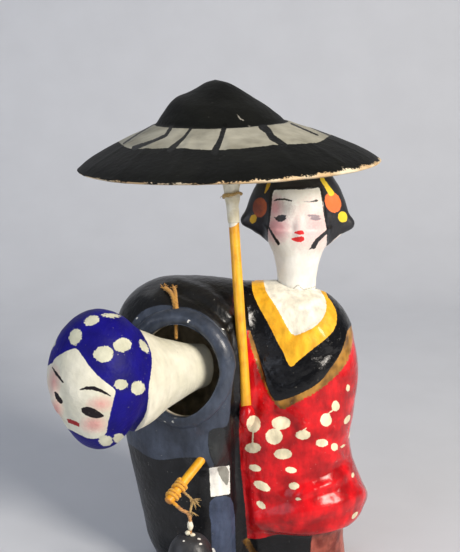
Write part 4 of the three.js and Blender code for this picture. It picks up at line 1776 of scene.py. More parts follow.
@dataclass
class LadyHead:
    """The lady's head, hair and neck: an egg in a hood of hair whose two wings taper outwards."""

    x: float = 23.1
    neck_y: float = 5
    neck_bottom: float = 111
    hair: tuple[Point, Point] = ((23.1, 9, 150.5), (17, 13, 14.5))
    face: tuple[Point, Point] = ((23.1, 1.5, 148), (12.2, 9.5, 14.5))
    # Each wing of hair: its upper corner, its tip and its lower corner
    wings: tuple[tuple[Point, ...], ...] = (
        ((12.6, 9, 157.2), (3.3, 9, 144.9), (14.6, 9, 139.6)),
        ((31.6, 9, 159.6), (43.2, 9, 143.5), (32, 9, 137)),
    )
    wing_radii: tuple[float, float, float] = (5.2, 2.0, 4.4)
    # The neck widens into the jaw: height, middle, half width and half depth
    neck: Table = Table(
        ((105, 5, 7.8, 7.8), (120, 5, 7.8, 7.8), (126, 4.6, 8.4, 8.1), (131.3, 4, 9.5, 8.6), (137.5, 3, 11.7, 9.4),
         (143, 2, 12.2, 9.6))
    )
    columns: int = 330
    levels: int = 100
    fan: int = 100
    skin_edge: tuple[Point, ...] = (
        (272.7, 190.4), (277, 189.7), (284, 189.6), (292.5, 189.2), (300, 189.6), (308, 189), (314, 188.2),
        (319.5, 187.2), (321, 194), (322.9, 208), (325, 220), (326.9, 231), (327, 240), (326.2, 248),
        (336, 262), (345, 330), (240, 330), (258, 258), (268.2, 244), (267.6, 233), (269.3, 224.8), (271.3, 208),
    )

    def distance(self, p: Array) -> Array:
        """Distance to the crown and wings of hair, with face, neck and nose joined on.

        Args:
            p: points, in mm.

        Returns:
            One distance a point.
        """
        cy, hx, hy = self.neck.read(p[:, 2])
        qx, qy = (p[:, 0] - self.x) / hx, (p[:, 1] - cy) / hy
        near = np.hypot(qx, qy)
        neck = near * (near - 1) / np.maximum(np.hypot(qx / hx, qy / hy), TINY)
        neck = np.maximum(neck, p[:, 2] - self.neck.rows[-1][0])
        (_, middle, high), (_, deep, _) = self.face
        nose = ellipsoid(p, (self.x, middle - deep + 0.8, high - 3), (1.7, 1.8, 4))
        hair = ellipsoid(p, *self.hair)
        for corner, tip, low in self.wings:
            r_corner, r_tip, r_low = self.wing_radii
            wing = smooth_min(tapered_rod(p, corner, tip, r_corner, r_tip), tapered_rod(p, tip, low, r_tip, r_low), 3)
            hair = smooth_min(hair, wing, 6)
        head = smooth_min(hair, ellipsoid(p, *self.face), 1.5)
        return smooth_min(smooth_min(head, neck, 2.5), nose, 2)

    def shell(self) -> Surface:
        """Rays from the neck's line to the field's surface, with fine lumps and the hair's edge raised a little.

        Returns:
            The closed surface.
        """
        foot = (self.x, self.neck_y, self.neck_bottom)
        rise = self.hair[0][2] - self.neck_bottom
        levels = np.linspace(0, rise, self.levels)
        spine = Spine(foot, (0, 0, 1), rise)
        o, a, t, shape = spine.cast(self.distance, levels, self.fan, self.columns, 2 * self.hair[1][0])
        p = o + a * t[:, None]
        skin = self.skin(p)
        t = t + 0.14 * pulp(p, 6, 41) + 0.06 * pulp(p, 2, 42) + 0.35 * ramp(-skin, -0.2, 0.5)
        return on_foot(foot, (o + a * t[:, None]).reshape(shape))

    def skin(self, p: Array) -> Array:
        """How far points lie inside the white of face and neck, in mm.

        Args:
            p: points, in mm.

        Returns:
            One distance a point, positive inside.
        """
        front = inside_outline(VIEW.picture(p), rounded(self.skin_edge, 1)) * VIEW.mm_per_px(p)
        back = 139.5 - p[:, 2]
        return np.where(p[:, 1] < 6.5, front, back)

    def paints(self, s: Surface) -> dict[str, Array]:
        """Distances to the painted edges of hair, features, blush and hair ornaments.

        Args:
            s: the finished head.

        Returns:
            One array for each painted area.
        """
        p = s.points
        px, scale = VIEW.picture(p), VIEW.mm_per_px(p)
        ahead = 9.5 - p[:, 1]
        skin = self.skin(p)
        x, y = px[:, 0], px[:, 1]

        def spot(*ellipse: float) -> Array:
            """How far points lie inside an ellipse in the picture plane."""
            return in_ellipse(px, *ellipse)

        dark = np.max([
            near_line(px, ((273.8, 200.8), (277.5, 199.5), (284, 199.2), (291.4, 200.8)), (0.4, 0.9, 1.0, 0.7)),
            near_line(px, ((310.6, 201.6), (314, 201.2), (316.6, 200.6)), (0.4, 0.9, 1.3)),
            spot(280.9, 218, 5.4, 3.0, -8), spot(280.3, 220.4, 3.5, 1.6, 0),
            near_line(px, ((273.6, 217.6), (277, 217.4), (286.3, 215.4)), (0.3, 0.7, 0.3)),
            near_line(px, ((267.9, 226), (272, 233.5), (278.4, 243.6)), (0.7, 1.2, 1.6)),
            near_line(px, ((333, 225.5), (325, 233.5), (317.4, 240), (313.5, 246.5)), (1.0, 1.7, 2.0, 2.6)),
            near_line(px, ((313.5, 246), (308.8, 250)), (1.2, 0.2)),
            near_line(px, ((272.8, 282.4), (278.8, 288.4)), (0.5, 0.5)),
        ], axis=0)
        faint = np.max([
            spot(313.6, 215.7, 6.5, 1.2, 4), spot(315.3, 218.6, 5.6, 1.8, 2), spot(308, 201.7, 5, 0.5, 0),
        ], axis=0)
        lips = np.maximum(
            inside_outline(px, rounded(((292.8, 232.6), (298, 230.8), (301.3, 230), (304, 231.6), (304.2, 234.6),
                                        (298, 234.7)), 1)),
            inside_outline(px, rounded(((290.2, 238.7), (296.5, 237), (303.2, 236.2), (304.8, 239.2), (302.4, 241.8),
                                        (297.8, 242.4), (293.4, 240.8)), 1)),
        )
        blush = np.max([
            0.9 - 0.9 * np.hypot((x - 276.5) / 12, (y - 228) / 12),
            0.75 - 0.75 * np.hypot((x - 275.5) / 6.5, (y - 208) / 10),
            0.28 - 0.28 * np.hypot((x - 315) / 12, (y - 226) / 12),
        ], axis=0)
        smear = 0.8 - 0.8 * np.hypot((x - 285.5) / 7, (y - 208.5) / 8.5)
        orange = spot(333, 202.3, 7.8, 10.6, -20)
        # The ornaments on the left: the orange and yellow of the right ones, darker, as painted shade
        left_orange = spot(259.8, 207.5, 7, 9.8, 4)
        yellow = np.max([
            near_line(px, ((320.6, 174), (322.6, 180), (326.6, 186), (331.2, 193)), (1.9, 2.0, 2.2, 3.0)),
            spot(342.7, 217, 4.6, 5.6, -8),
        ], axis=0)
        left_yellow = np.maximum(
            near_line(px, ((270, 180.5), (268, 186), (265, 192.6)), (1.5, 1.8, 0.8)), spot(253.2, 219, 3.3, 4.6, 20)
        )
        seam = near_line(px, ((279.5, 288.6), (292, 289.6), (298, 284.8), (303.5, 290), (316, 286.6)), (0.3,) * 5)
        contour = 0.55 - np.abs(skin + 0.5)
        on = {
            "hair": -skin,
            "contour": np.minimum(contour, ahead - 2),
            "blush": blush * 3,
            "smear": smear * 3,
            "dark": dark * scale,
            "faint": faint * scale,
            "lips": lips * scale,
            "orange": orange * scale,
            "left_orange": left_orange * scale,
            "yellow": yellow * scale,
            "left_yellow": left_yellow * scale,
            "seam": seam * scale,
            # The neck darker and yellower below about 118 mm, towards the robe
            "grime": 118 + 1.2 * np.sin(p[:, 0]) - p[:, 2],
        }
        return {k: v if k in ("hair", "contour", "grime") else np.where(ahead > 0, v, BARE) for k, v in on.items()}

    def build(self) -> None:
        """Make the head and dress it."""
        surface = self.shell()
        obj = make_object(
            "painted_lady_head", surface, LADY_PAINT.build(), Body.FIGURE, self.paints(surface)
        )
        merged(obj)
        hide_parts("lady_head")
        LOG.info("lady's head: %d faces", len(obj.data.polygons))


# Chalk white laid smooth, with features in ink: flat black lines that end in soft blushes of dry colour
LADY_PAINT = PaintedPaper(
    name="chalk_white_and_ink",
    ground="#F1F0E8",
    second="#E7E5DA",
    ground_roughness=0.55,
    layers=(
        # The neck darker and yellower towards its foot
        Layer("grime", "#CFC7AE", Paint.BLUSH, 0.7, strength=0.4, wobble_mm=1.5),
        Layer("blush", "#D8848E", Paint.BLUSH, 0.55, strength=0.75, wobble_mm=0.4),
        Layer("smear", "#857B78", Paint.BLUSH, 0.6, strength=0.6, wobble_mm=0.6),
        Layer("seam", "#6A604C", Paint.BRUSHED, 0.7, strength=0.85),
        Layer("hair", "#1B1B1F", Paint.CRISP, 0.45, second="#212126"),
        Layer("contour", "#030304", Paint.CRISP, 0.35),
        Layer("orange", "#E9743A", Paint.CRISP, 0.5),
        # The left ornaments in painted shade, darker than the right ones
        Layer("left_orange", "#B4541C", Paint.BRUSHED, 0.45, second="#7A3412"),
        Layer("yellow", "#F2D02E", Paint.CRISP, 0.5),
        Layer("left_yellow", "#C49A1E", Paint.CRISP, 0.5),
        Layer("faint", "#6C6672", Paint.BRUSHED, 0.55, strength=0.75),
        Layer("dark", "#151315", Paint.CRISP, 0.4),
        Layer("lips", "#DA1A1E", Paint.CRISP, 0.45),
    ),
    streak_mm=2.2,
    streak_depth=0.05,
    lump_mm=1.1,
    lump_height=0.1,
    fleck="#9A958A",
    fleck_share=0.4,
    coat=0.12,
)


# The umbrella


@dataclass
class Umbrella:
    """Canopy, pole and the paste collar that joins them."""

    peak: tuple[float, float] = (-9.6, -6)
    centre: tuple[float, float] = (-4.85, -6)
    radius: float = 57.8
    rim_height: float = 169.5
    lean: tuple[float, float] = (0.031, -0.03)
    wall: float = 2
    rim_wave: float = 0.6
    cap_swell: float = 3.0
    profile: Table = Table(
        ((0, 32), (0.07, 31), (0.14, 28.7), (0.24, 24.6), (0.33, 20.9), (0.4, 17.2), (0.47, 15.2), (0.6, 12.2),
         (0.77, 8), (0.92, 3.6), (1, 0.4))
    )
    pole_diameter: float = 4
    white_from: float = 147.6
    collar_length: float = 20
    collar_over: float = 1.5
    ring_down: float = 7.9
    columns: int = 440
    band: tuple[float, float] = (0.438, 0.70)
    # Dark lines across the band, in the picture plane: points and half widths
    lines: tuple[tuple[tuple[Point, ...], tuple[float, ...]], ...] = (
        (((154, 124), (140, 132.5), (123.5, 143.5)), (0.7, 0.7, 0.8)),
        (((173, 124), (166, 135.3), (152, 141.5), (134, 148)), (1.8, 1.6, 1.4, 2.4)),
        (((195, 123), (184.3, 137.3), (170, 150)), (1.2, 1.4, 3.0)),
        (((225, 125), (220.5, 139.4), (214.6, 152)), (2.4, 2.4, 3.6)),
        (((262, 126), (268, 131), (272, 137.3), (285, 145.5)), (3.8, 3.4, 3.2, 2.6)),
        (((291, 123.5), (318, 135.3)), (0.8, 0.8)),
        (((300, 122.5), (330, 135.6)), (0.7, 0.7)),
    )
    back_lines: int = 8

    def top(self, share: Array, turn: Array) -> Array:
        """The upper surface: circles whose middle drifts from peak to rim, at a height read from the profile.

        Args:
            share: 0 at the peak and 1 at the rim.
            turn: share of a full turn.

        Returns:
            Points, in mm.
        """
        wave = self.rim_wave * np.sin(turn * TAU * 3 + 1) * share**4
        radius = (self.radius + wave) * share
        x = self.peak[0] + (self.centre[0] - self.peak[0]) * share + radius * np.cos(turn * TAU)
        y = self.peak[1] + (self.centre[1] - self.peak[1]) * share + radius * np.sin(turn * TAU)
        height = self.profile.read(share.ravel())[0].reshape(share.shape)
        lean = self.lean[0] * (x - self.peak[0]) + self.lean[1] * (y - self.peak[1])
        swell = self.cap_swell * bump(share, 0.29, 0.1) * np.clip(-np.cos(turn * TAU), 0, 1) ** 1.5
        return np.stack([x, y, self.rim_height + lean + height + swell], axis=-1)

    def canopy_shell(self) -> tuple[Surface, dict[str, Array]]:
        """Rings from the middle of the underside to the rim, round the rim's edge and up over the top to the peak.

        Returns:
            The closed surface, and at every point its share of the way out, its side and its turn.
        """
        turn = np.arange(self.columns)[None, :] / self.columns
        out = np.linspace(0, 1, 52)[:-1, None] ** 0.9 * 0.985
        over = 1 - np.linspace(0, 1, 112)[:, None] ** 1.1
        ribs = np.exp(-((((turn * 16 + 0.35) % 1 - 0.5) / 0.09) ** 2))

        def sheet(share: Array) -> Array:
            """The upper surface with its lumps, creases and ribs.

            Args:
                share: shares of the way out, as a column.

            Returns:
                Points, in mm.
            """
            p = self.top(share + 0 * turn, turn + 0 * share)
            flat = p.reshape(-1, 3)
            s = share + 0 * turn
            lumps = 0.30 * pulp(flat, 14, 51).reshape(s.shape) + 0.08 * pulp(flat, 3, 52).reshape(s.shape)
            crease = -0.55 * bump(s, 0.425, 0.02) + 0.25 * bump(s, 0.39, 0.03)
            rise = lumps + crease + 0.22 * ribs * ramp(s, 0.45, 0.6) * ramp(-s, -1.02, -0.9)
            rise *= ramp(-s, -1.0, -0.97) * 0.7 + 0.3
            p[..., 2] += rise
            return p

        upper = sheet(over)
        thick = self.wall * (1 + 0.9 * np.exp(-(((out - 0.3) / 0.2) ** 2)))
        lower = self.top(out + 0 * turn, turn + 0 * out)
        lumps = 0.25 * pulp(lower.reshape(-1, 3), 10, 61).reshape(out.shape[0], -1)
        lower[..., 2] -= thick + 0.25 + lumps * ramp(out, 0, 0.2)
        fold = np.linspace(0, 1, 8)[1:-1, None]
        rim = upper[:1] * fold[..., None] + lower[-1:] * (1 - fold[..., None])
        rough = 0.22 * pulp(rim.reshape(-1, 3), 2.2, 71).reshape(rim.shape[:2]) - 0.25
        swell = (0.7 * np.sin(fold * math.pi) + rough)[..., None]
        outward = np.stack([np.cos(turn * TAU), np.sin(turn * TAU), 0 * turn], axis=-1)
        rim = rim + outward * swell * np.sin(fold * math.pi)[..., None]
        surface = ring_grid(np.concatenate([lower, rim, upper], axis=0))
        rows_under, rows_rim = len(lower), len(rim)
        share = np.concatenate([out[:, 0], np.full(rows_rim, 1.0), over[:, 0]])
        side = np.concatenate([np.full(rows_under, -3.0), np.linspace(-1.2, -0.1, rows_rim), np.full(len(over), 3.0)])
        return surface, {
            "share": np.repeat(share, self.columns),
            "upper": np.repeat(side, self.columns),
            "turn": np.tile(turn[0], len(share)),
        }

    def canopy_paints(self, s: Surface, grid: dict[str, Array]) -> dict[str, Array]:
        """Distances to the band's edges, the dark lines over it and the worn rim.

        Args:
            s: the canopy.
            grid: the values that its shell came with.

        Returns:
            One array for each painted area.
        """
        p = s.points
        px, scale = VIEW.picture(p), VIEW.mm_per_px(p)
        share, turn, upper = grid["share"], grid["turn"], grid["upper"]
        inner = (share - self.band[0] - 0.004 * np.sin(turn * TAU * 5 + 1)) * self.radius
        outer = (self.band[1] + 0.012 * np.sin(turn * TAU * 7) - share) * self.radius
        band = np.minimum(inner, outer)
        lines = np.max([near_line(px, points, widths) for points, widths in self.lines], axis=0) * scale
        behind = np.full(len(p), -9.0)
        for i in range(self.back_lines):
            centre = 0.02 + 0.46 * (i + 0.5 + 0.12 * math.sin(3 * i)) / self.back_lines
            off = np.abs((turn - centre + 0.5) % 1 - 0.5) * TAU * share * self.radius
            behind = np.maximum(behind, 0.55 + 0.3 * math.sin(5 * i) - off)
        lines = np.where(p[:, 1] < self.centre[1] + 6, lines, behind)
        edge = (share - 1) * self.radius + 0.35 * (np.cos((turn - 0.93) * TAU) - 0.2) + 0.55 * np.sin(turn * 91) ** 6
        right = np.clip(np.cos((turn - 0.90) * TAU), 0, 1) ** 2
        # Chips worn into the rim's paint, most of them on its right side
        chips_and_glints = 1.5 * right - 0.35 + 1.1 * lattice_noise(p, 5.0, 82) + 0.5 * lattice_noise(p, 1.8, 83)
        worn = np.where(upper > 2, edge + 0.30 * lattice_noise(p, 1.6, 81) - 0.5 + right, chips_and_glints + 0.5)
        worn = np.where(upper < -2, -2, worn)
        tear = np.maximum(
            near_line(px, ((237.2, 114.4), (240, 118.6), (244.6, 121.2)), (0.3, 0.7, 0.3)),
            in_ellipse(px, 249.3, 125.8, 1.6, 0.6, 0),
        )
        return {
            "band": np.where(upper > 2, band, BARE),
            "lines": np.where(upper > 2, lines, BARE),
            "worn": worn,
            "under": np.where(upper < -2, 2.0, -2.0),
            "tear": np.where(upper > 2, tear * scale, BARE),
        }

    def pole(self) -> Surface:
        """The skewer, from its sunk foot to the canopy.

        Returns:
            The closed surface.
        """
        way, foot = POLE.way(), POLE.below_foot(POLE.sunk)
        _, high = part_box("umbrella_pole")
        long = (high[2] / MM - 0.4 - foot[2]) / way[2]
        return Skewer(self.pole_diameter / 2, 0.82, 48, 150, 0.05).along(foot, way, long, across(way))

    def paste(self) -> Surface:
        """Paste wrapped round the pole's head: a profile turned round the pole, torn at both ends.

        Returns:
            The closed surface.
        """
        profile = Table(
            ((0, 2.15, 0.1), (0.2, 2.25, 0.15), (3, 2.3, 0.2), (7, 2.45, 0.3), (8.8, 2.9, 0.5), (10.4, 3.1, 0.6),
             (12, 2.95, 0.4), (14, 3.3, 0.3), (19.6, 4.25, 0.3), (20, 4.1, 0.2))
        )
        way = POLE.way()
        foot = np.asarray(POLE.head) + way * (self.collar_over - self.collar_length)
        outward = circle(turns(96), *across(way))
        h = np.linspace(0, self.collar_length, 90)
        radius, rough = profile.read(h)
        p = foot + h[:, None, None] * way + outward * radius[:, None, None]
        lumps = pulp(p.reshape(-1, 3), 2.2, 95).reshape(p.shape[:2]) * rough[:, None] * 0.8
        p += outward * lumps[..., None]
        inner = foot + h[::-1, None, None] * way + outward * (self.pole_diameter / 2 + 0.15)
        return ring_grid(np.concatenate([p, inner[::9]], axis=0), close_rows=True)

    def string_tufts(self) -> tuple[Surface, dict[str, Array]]:
        """Frayed string laid round the paste: two uneven turns, and short ends that stick out of them.

        Returns:
            The strands and their values.
        """
        way = POLE.way()
        side, other = across(way)
        middle = np.asarray(POLE.head) - way * self.ring_down
        t = np.linspace(0, 2.15 * TAU, 90)
        r = 3.45 + 0.16 * np.sin(3 * t) + 0.1 * np.sin(7 * t + 1)
        lift = 0.55 * np.sin(t * 0.9) + 0.2 * np.sin(4 * t)
        ring = middle + circle(t, side, other) * r[:, None]
        parts = [Twine(1.05, 2, 2.2, 0.18, 12).along(ring + lift[:, None] * way)]
        for i in range(9):
            angle = i * 0.72 + 0.3 * math.sin(i * 5.0)
            out = math.cos(angle) * side + math.sin(angle) * other
            start = middle + out * 3.3 + way * 0.5 * math.sin(i * 2.1)
            length = 0.9 + 0.5 * math.sin(i * 3.3)
            bend = start + out * length * 0.6 + way * 0.2
            tip = start + out * length + way * (0.7 * math.sin(i * 1.3)) + 0.3 * np.cross(way, out)
            parts.append(whisker(start, bend, tip, 0.34, 0.12))
        return joined(parts)

    def build(self) -> None:
        """Make canopy, pole, paste and string, and dress them."""
        surface, grid = self.canopy_shell()
        paints = self.canopy_paints(surface, grid)
        canopy = merged(make_object("canopy", surface, CANOPY_PAINT.build(), Body.FIGURE, paints))
        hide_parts("umbrella_canopy")
        pole = self.pole()
        x, y, z = pole.points.T
        white_end = z - self.white_from + 1.4 * np.sin(np.arctan2(y + 9, x + 1.3) * 2.0)
        stick = merged(
            make_object(
                "canopy_pole", pole, POLE_PAINT.build(), Body.FIGURE, {"white_end": white_end}
            )
        )
        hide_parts("umbrella_pole")
        paste = merged(make_object("paste_collar", self.paste(), PASTE.build(), Body.FIGURE))
        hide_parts("umbrella_collar")
        surface, paints = self.string_tufts()
        merged(make_object("collar_string", surface, FRAYED_STRING.build(), Body.FIGURE, paints))
        LOG.info("umbrella: %d faces in its canopy", len(canopy.data.polygons))


def joined(parts: Sequence[tuple[Surface, dict[str, Array]]]) -> tuple[Surface, dict[str, Array]]:
    """Put several surfaces and their values together as one.

    Args:
        parts: surfaces, each with its values a point.

    Returns:
        The joined surface and values.
    """
    offset, points, faces = 0, [], []
    for surface, _ in parts:
        points.append(surface.points)
        faces.append(surface.faces + offset)
        offset += len(surface.points)
    values = {key: np.concatenate([extra[key] for _, extra in parts]) for key in parts[0][1]}
    return Surface(np.concatenate(points), np.concatenate(faces)), values


# Lampblack on pressed paper: matt and uneven, worn back to the pale paper along the rim
CANOPY_PAINT = PaintedPaper(
    name="lampblack_on_pressed_paper",
    ground="#0B0C0A",
    second="#121310",
    ground_roughness=0.6,
    specular=0.12,
    layers=(
        Layer("band", "#A5A293", Paint.CRISP, 0.6, second="#8E8B7C", wobble_mm=0.25),
        Layer("lines", "#0A0A08", Paint.CRISP, 0.45, wobble_mm=0.12),
        Layer("tear", "#9A968C", Paint.CRISP, 0.7, strength=0.8),
        Layer("worn", "#CDAE84", Paint.BRUSHED, 0.8, second="#E8DCC0", wobble_mm=0.8),
        Layer("under", "#CFC6AE", Paint.CRISP, 0.8, second="#C2B89C", wobble_mm=0.0),
    ),
    streak_mm=4.0,
    streak_stretch=(0.6, 1.0, 1.0),
    streak_depth=0.16,
    lump_mm=1.8,
    lump_height=0.22,
    fleck="#6E6C64",
    fleck_share=0.2,
)

# Yellow poster paint on bamboo: streaks along the grain, and bare brown wood where the tip was cut
SKEWER_PAINT = PaintedPaper(
    name="yellow_poster_paint_on_bamboo",
    ground="#EFB021",
    second="#E09A18",
    ground_roughness=0.45,
    layers=(Layer("tip", "#B06A2C", Paint.SOFT, 0.6, strength=0.8),),
    streak_mm=1.4,
    streak_stretch=(1.0, 1.0, 0.15),
    streak_depth=0.14,
    lump_mm=1.0,
    lump_height=0.12,
    fleck="#C57A20",
    fleck_share=0.4,
    coat=0.15,
)

# The same paint, with the white of the paste brushed on over its upper end
POLE_PAINT = replace(
    SKEWER_PAINT,
    name="yellow_and_white_poster_paint_on_bamboo",
    layers=(Layer("white_end", "#EAE6D6", Paint.BRUSHED, 0.6),),
)

# Flour paste and torn paper: rough, matt and off-white, browner in blotches and flecks
PASTE = PaintedPaper(
    name="flour_paste_and_paper",
    ground="#E9E5D3",
    second="#D8D0B4",
    ground_roughness=0.75,
    streak_mm=1.6,
    streak_depth=0.08,
    lump_mm=0.9,
    lump_height=0.28,
    fleck="#B9A67E",
    fleck_share=0.5,
)

# Jute and paper string: hairy, matt, and darker between its strands; yellow paint has soaked into the second
FRAYED_STRING = TwineFibre("frayed_paper_string", "#D9B878", "#8A6428")
PAINTED_TWINE = TwineFibre("jute_twine_painted_in_places", "#D8A060", "#7A4A1E", paint="#E8A82C")
HEAD_TWINE = TwineFibre("ochre_jute_twine", "#D6A04A", "#8A5A20")


# The lantern, its stick and its string


@dataclass
class LanternSet:
    """The skewer in the man's sleeve, the twine wound on it, and the lantern that hangs from the twine."""

    root: tuple[float, float, float] = (-11.2, -20.8, 59.4)
    tip: tuple[float, float, float] = (-27.6, -41, 45.8)
    stick_diameter: float = 3.5
    twine: Twine = Twine(1.4)
    fit: float = 0.3
    pressed: float = 0.35
    windings: tuple[float, float] = (3.4, 8.4)
    turns: int = 2
    pitch: float = 1.45
    place: tuple[float, float] = (-19.3, -40)
    top: float = 31.2
    radius: float = 9.2
    height: float = 24
    squareness: float = 0.68
    dent: float = 0.9

    def stick_way(self) -> Array:
        """Direction of the stick, from sleeve to tip."""
        return unit(np.asarray(self.tip) - self.root)

    def frame(self) -> tuple[Array, Array]:
        """Two directions square to the stick: the one nearest straight down, and the one beside it.

        Returns:
            Both directions.
        """
        way = self.stick_way()
        down = unit(np.array([0, 0, -1.0]) + way * way[2])
        return down, np.cross(way, down)

    def on_stick(self, from_tip: Array, turn: Array, radius: float) -> Array:
        """Points round the stick, at distances from its tip and turns from its underside.

        Args:
            from_tip: distances from the tip.
            turn: turns from the stick's underside.
            radius: distance from the stick's line.

        Returns:
            Rows of points.
        """
        down, beside = self.frame()
        middle = np.asarray(self.tip) - from_tip[:, None] * self.stick_way()
        return middle + radius * circle(turn * TAU, down, beside)

    def string_route(self) -> Array:
        """The string from its first turn on the stick: wound twice at each place, then down to the lantern.

        Returns:
            Rows of points, in mm.
        """
        lower, upper = self.windings
        half = self.turns * self.pitch / 2
        total = 2 * self.turns + 0.5
        turn = np.linspace(-total, 0, int(total * 26))
        ends = [-total, -total + self.turns, -self.turns, 0]
        place = np.interp(turn, ends, [upper + half, upper - half, lower + half, lower - half])
        wound = self.on_stick(place, turn, self.stick_diameter / 2 - self.pressed + self.twine.diameter / 2)
        x, y = self.place
        hang = ((x - 3.2, y - 0.8, 42.32), (x - 0.9, y - 0.3, 40.72), (x, y, 37.92), (x, y, 34.7))
        return smooth_path(np.concatenate([wound[:-2], hang, [(x, y, self.top + self.fit)]]), 0.3)

    def stick(self) -> Surface:
        """The short skewer, from the sleeve to its cut tip.

        Returns:
            The closed surface.
        """
        down, beside = self.frame()
        long = float(np.linalg.norm(np.asarray(self.tip) - self.root))
        stick = Skewer(self.stick_diameter / 2, 0.8, 40, 80)
        return stick.along(np.asarray(self.root), self.stick_way(), long, (-down, -beside))

    def ball(self) -> Surface:
        """The lantern: circles of radius R sin(a)^k, dented front and back, with lumps of paint.

        Returns:
            The closed surface.
        """
        rows, columns = 150, 240
        tilt = np.linspace(0, math.pi, rows)[:, None]
        turn = turns(columns)[None, :]
        bulge = np.sin(tilt) ** self.squareness
        r = bulge * (self.radius - self.dent * np.abs(np.sin(turn)) ** 8)
        z = self.top - self.height * (1 + np.cos(tilt)) / 2 + 0 * turn
        p = np.stack([self.place[0] + r * np.cos(turn), self.place[1] + r * np.sin(turn), z], axis=-1)
        lumps = 0.22 * pulp(p.reshape(-1, 3), 5, 101) + 0.08 * pulp(p.reshape(-1, 3), 1.6, 102)
        p[..., 0] += lumps.reshape(r.shape) * np.cos(turn) * bulge
        p[..., 1] += lumps.reshape(r.shape) * np.sin(turn) * bulge
        p[..., 2] = np.minimum(p[..., 2], self.top)
        return ring_grid(p)

    def lump(self, centre: Point, half: Point, seed: int) -> tuple[Surface, dict[str, Array]]:
        """A pinch of paste: an ellipsoid roughened by noise.

        Args:
            centre: its middle.
            half: its three half widths.
            seed: picks its lumps.

        Returns:
            The closed surface, and no values.
        """
        ball = globe(26, 32)
        rough = 1 + 0.16 * pulp(ball.reshape(-1, 3) * 2, 1.0, seed).reshape(ball.shape[:2])
        return ring_grid(ball * rough[..., None] * np.asarray(half) + np.asarray(centre)), {}

    def build(self) -> None:
        """Make stick, string, lantern and the paste and fluff on the string."""
        x, y = self.place
        stick = self.stick()
        to_tip = (stick.points - np.asarray(self.tip)) @ self.stick_way()
        obj = merged(
            make_object(
                "lantern_skewer", stick, SKEWER_PAINT.build(), Body.FIGURE, {"tip": to_tip + 0.35}
            )
        )
        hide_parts("lantern_stick")
        route = self.string_route()
        surface, values = self.twine.along(route)
        off, way = surface.points - np.asarray(self.tip), self.stick_way()
        from_line = np.linalg.norm(off - (off @ way)[:, None] * way, axis=1)
        values["paint_mm"] = 4.1 - from_line
        string = merged(make_object("lantern_string", surface, PAINTED_TWINE.build(), Body.FIGURE, values))
        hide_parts("lantern_twine", "twine_winding_lower", "twine_winding_upper")
        ball = self.ball()
        lantern = merged(
            make_object(
                "paper_lantern", ball, LANTERN_PAINT.build(), Body.FIGURE, self.lantern_paints(ball)
            )
        )
        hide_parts("lantern")
        paste = joined([
            self.lump((x, y - 0.1, 35.4), (1.15, 1.1, 2.2), 5),
            self.lump((x - 0.9, y - 0.5, 32.5), (1.0, 0.9, 0.9), 6),
            self.lump((x + 0.9, y - 0.4, 31.6), (1.1, 0.9, 0.6), 7),
        ])[0]
        lumps = merged(make_object("string_paste", paste, PASTE.build(), Body.FIGURE))
        tuft = self.bridle()
        bridle = merged(make_object("string_bridle", tuft[0], FRAYED_STRING.build(), Body.FIGURE, tuft[1]))

    def bridle(self) -> tuple[Surface, dict[str, Array]]:
        """The loose strand from the upper winding down to the string, and the frayed ends where they meet.

        Returns:
            The strands and their values.
        """
        x, y = self.place
        upper = self.on_stick(np.array([self.windings[1] - 0.6]), np.array([-0.2]), self.stick_diameter / 2 + 0.8)[0]
        meet = np.array([x, y - 0.2, 40.6])
        knot = np.array([x + 1.0, y + 0.8, 45.4])
        parts = [Twine(1.0, 2, 2.4, 0.15, 10).along(smooth_path((upper, knot, (knot + meet) / 2, meet), 0.25))]
        for i in range(44):
            angle = i * 2.4
            round_it = np.array([math.cos(angle), 0.6 * math.sin(angle), math.sin(i * 1.7)])
            start = (knot if i % 4 else meet) + 0.6 * round_it
            out = np.array([0.7 * math.cos(angle) + 0.5, 0.4 * math.sin(angle) - 0.4, 0.8 * math.sin(i * 2.3) - 0.1])
            bend = start + out * 0.9
            tip = start + out * (1.7 + 0.8 * math.sin(i * 4.1)) + np.array([0, 0, -0.4])
            parts.append(whisker(start, bend, tip, 0.38))
        return joined(parts)

    def lantern_paints(self, s: Surface) -> dict[str, Array]:
        """White specks and worn dabs near the lantern's top, and painted sheen: a lighter grey round its top.

        Args:
            s: the lantern.

        Returns:
            One array for each painted area.
        """
        p = s.points
        px, scale = VIEW.picture(p), VIEW.mm_per_px(p)
        specks = np.max([in_ellipse(px, 199, 539, 1.6, 0.9, 10), in_ellipse(px, 200.5, 544, 1.3, 1.0, 0),
                         in_ellipse(px, 184, 541, 1.0, 0.7, 0)], axis=0)
        return {"specks": np.where(p[:, 1] < self.place[1] + 3, specks * scale, BARE),
                # Painted sheen: lighter grey round the top
                "shoulder": p[:, 2] - self.top + 3 + 0.8 * np.sin(p[:, 0])}


# A thin black wash on paper: grey where it is worn, with specks of white from the brush
LANTERN_PAINT = PaintedPaper(
    name="thin_black_wash_on_paper",
    ground="#1C1D20",
    second="#26272A",
    ground_roughness=0.5,
    layers=(
        # Painted sheen: lighter grey round the lantern's top
        Layer("shoulder", "#3C3D40", Paint.BLUSH, 0.55, strength=0.6),
        Layer("specks", "#E4E2DA", Paint.CRISP, 0.6),
    ),
    streak_mm=2.0,
    streak_depth=0.2,
    lump_mm=1.4,
    lump_height=0.25,
    fleck="#8A8A86",
    fleck_share=0.5,
    coat=0.1,
)


# The string that the head hangs on


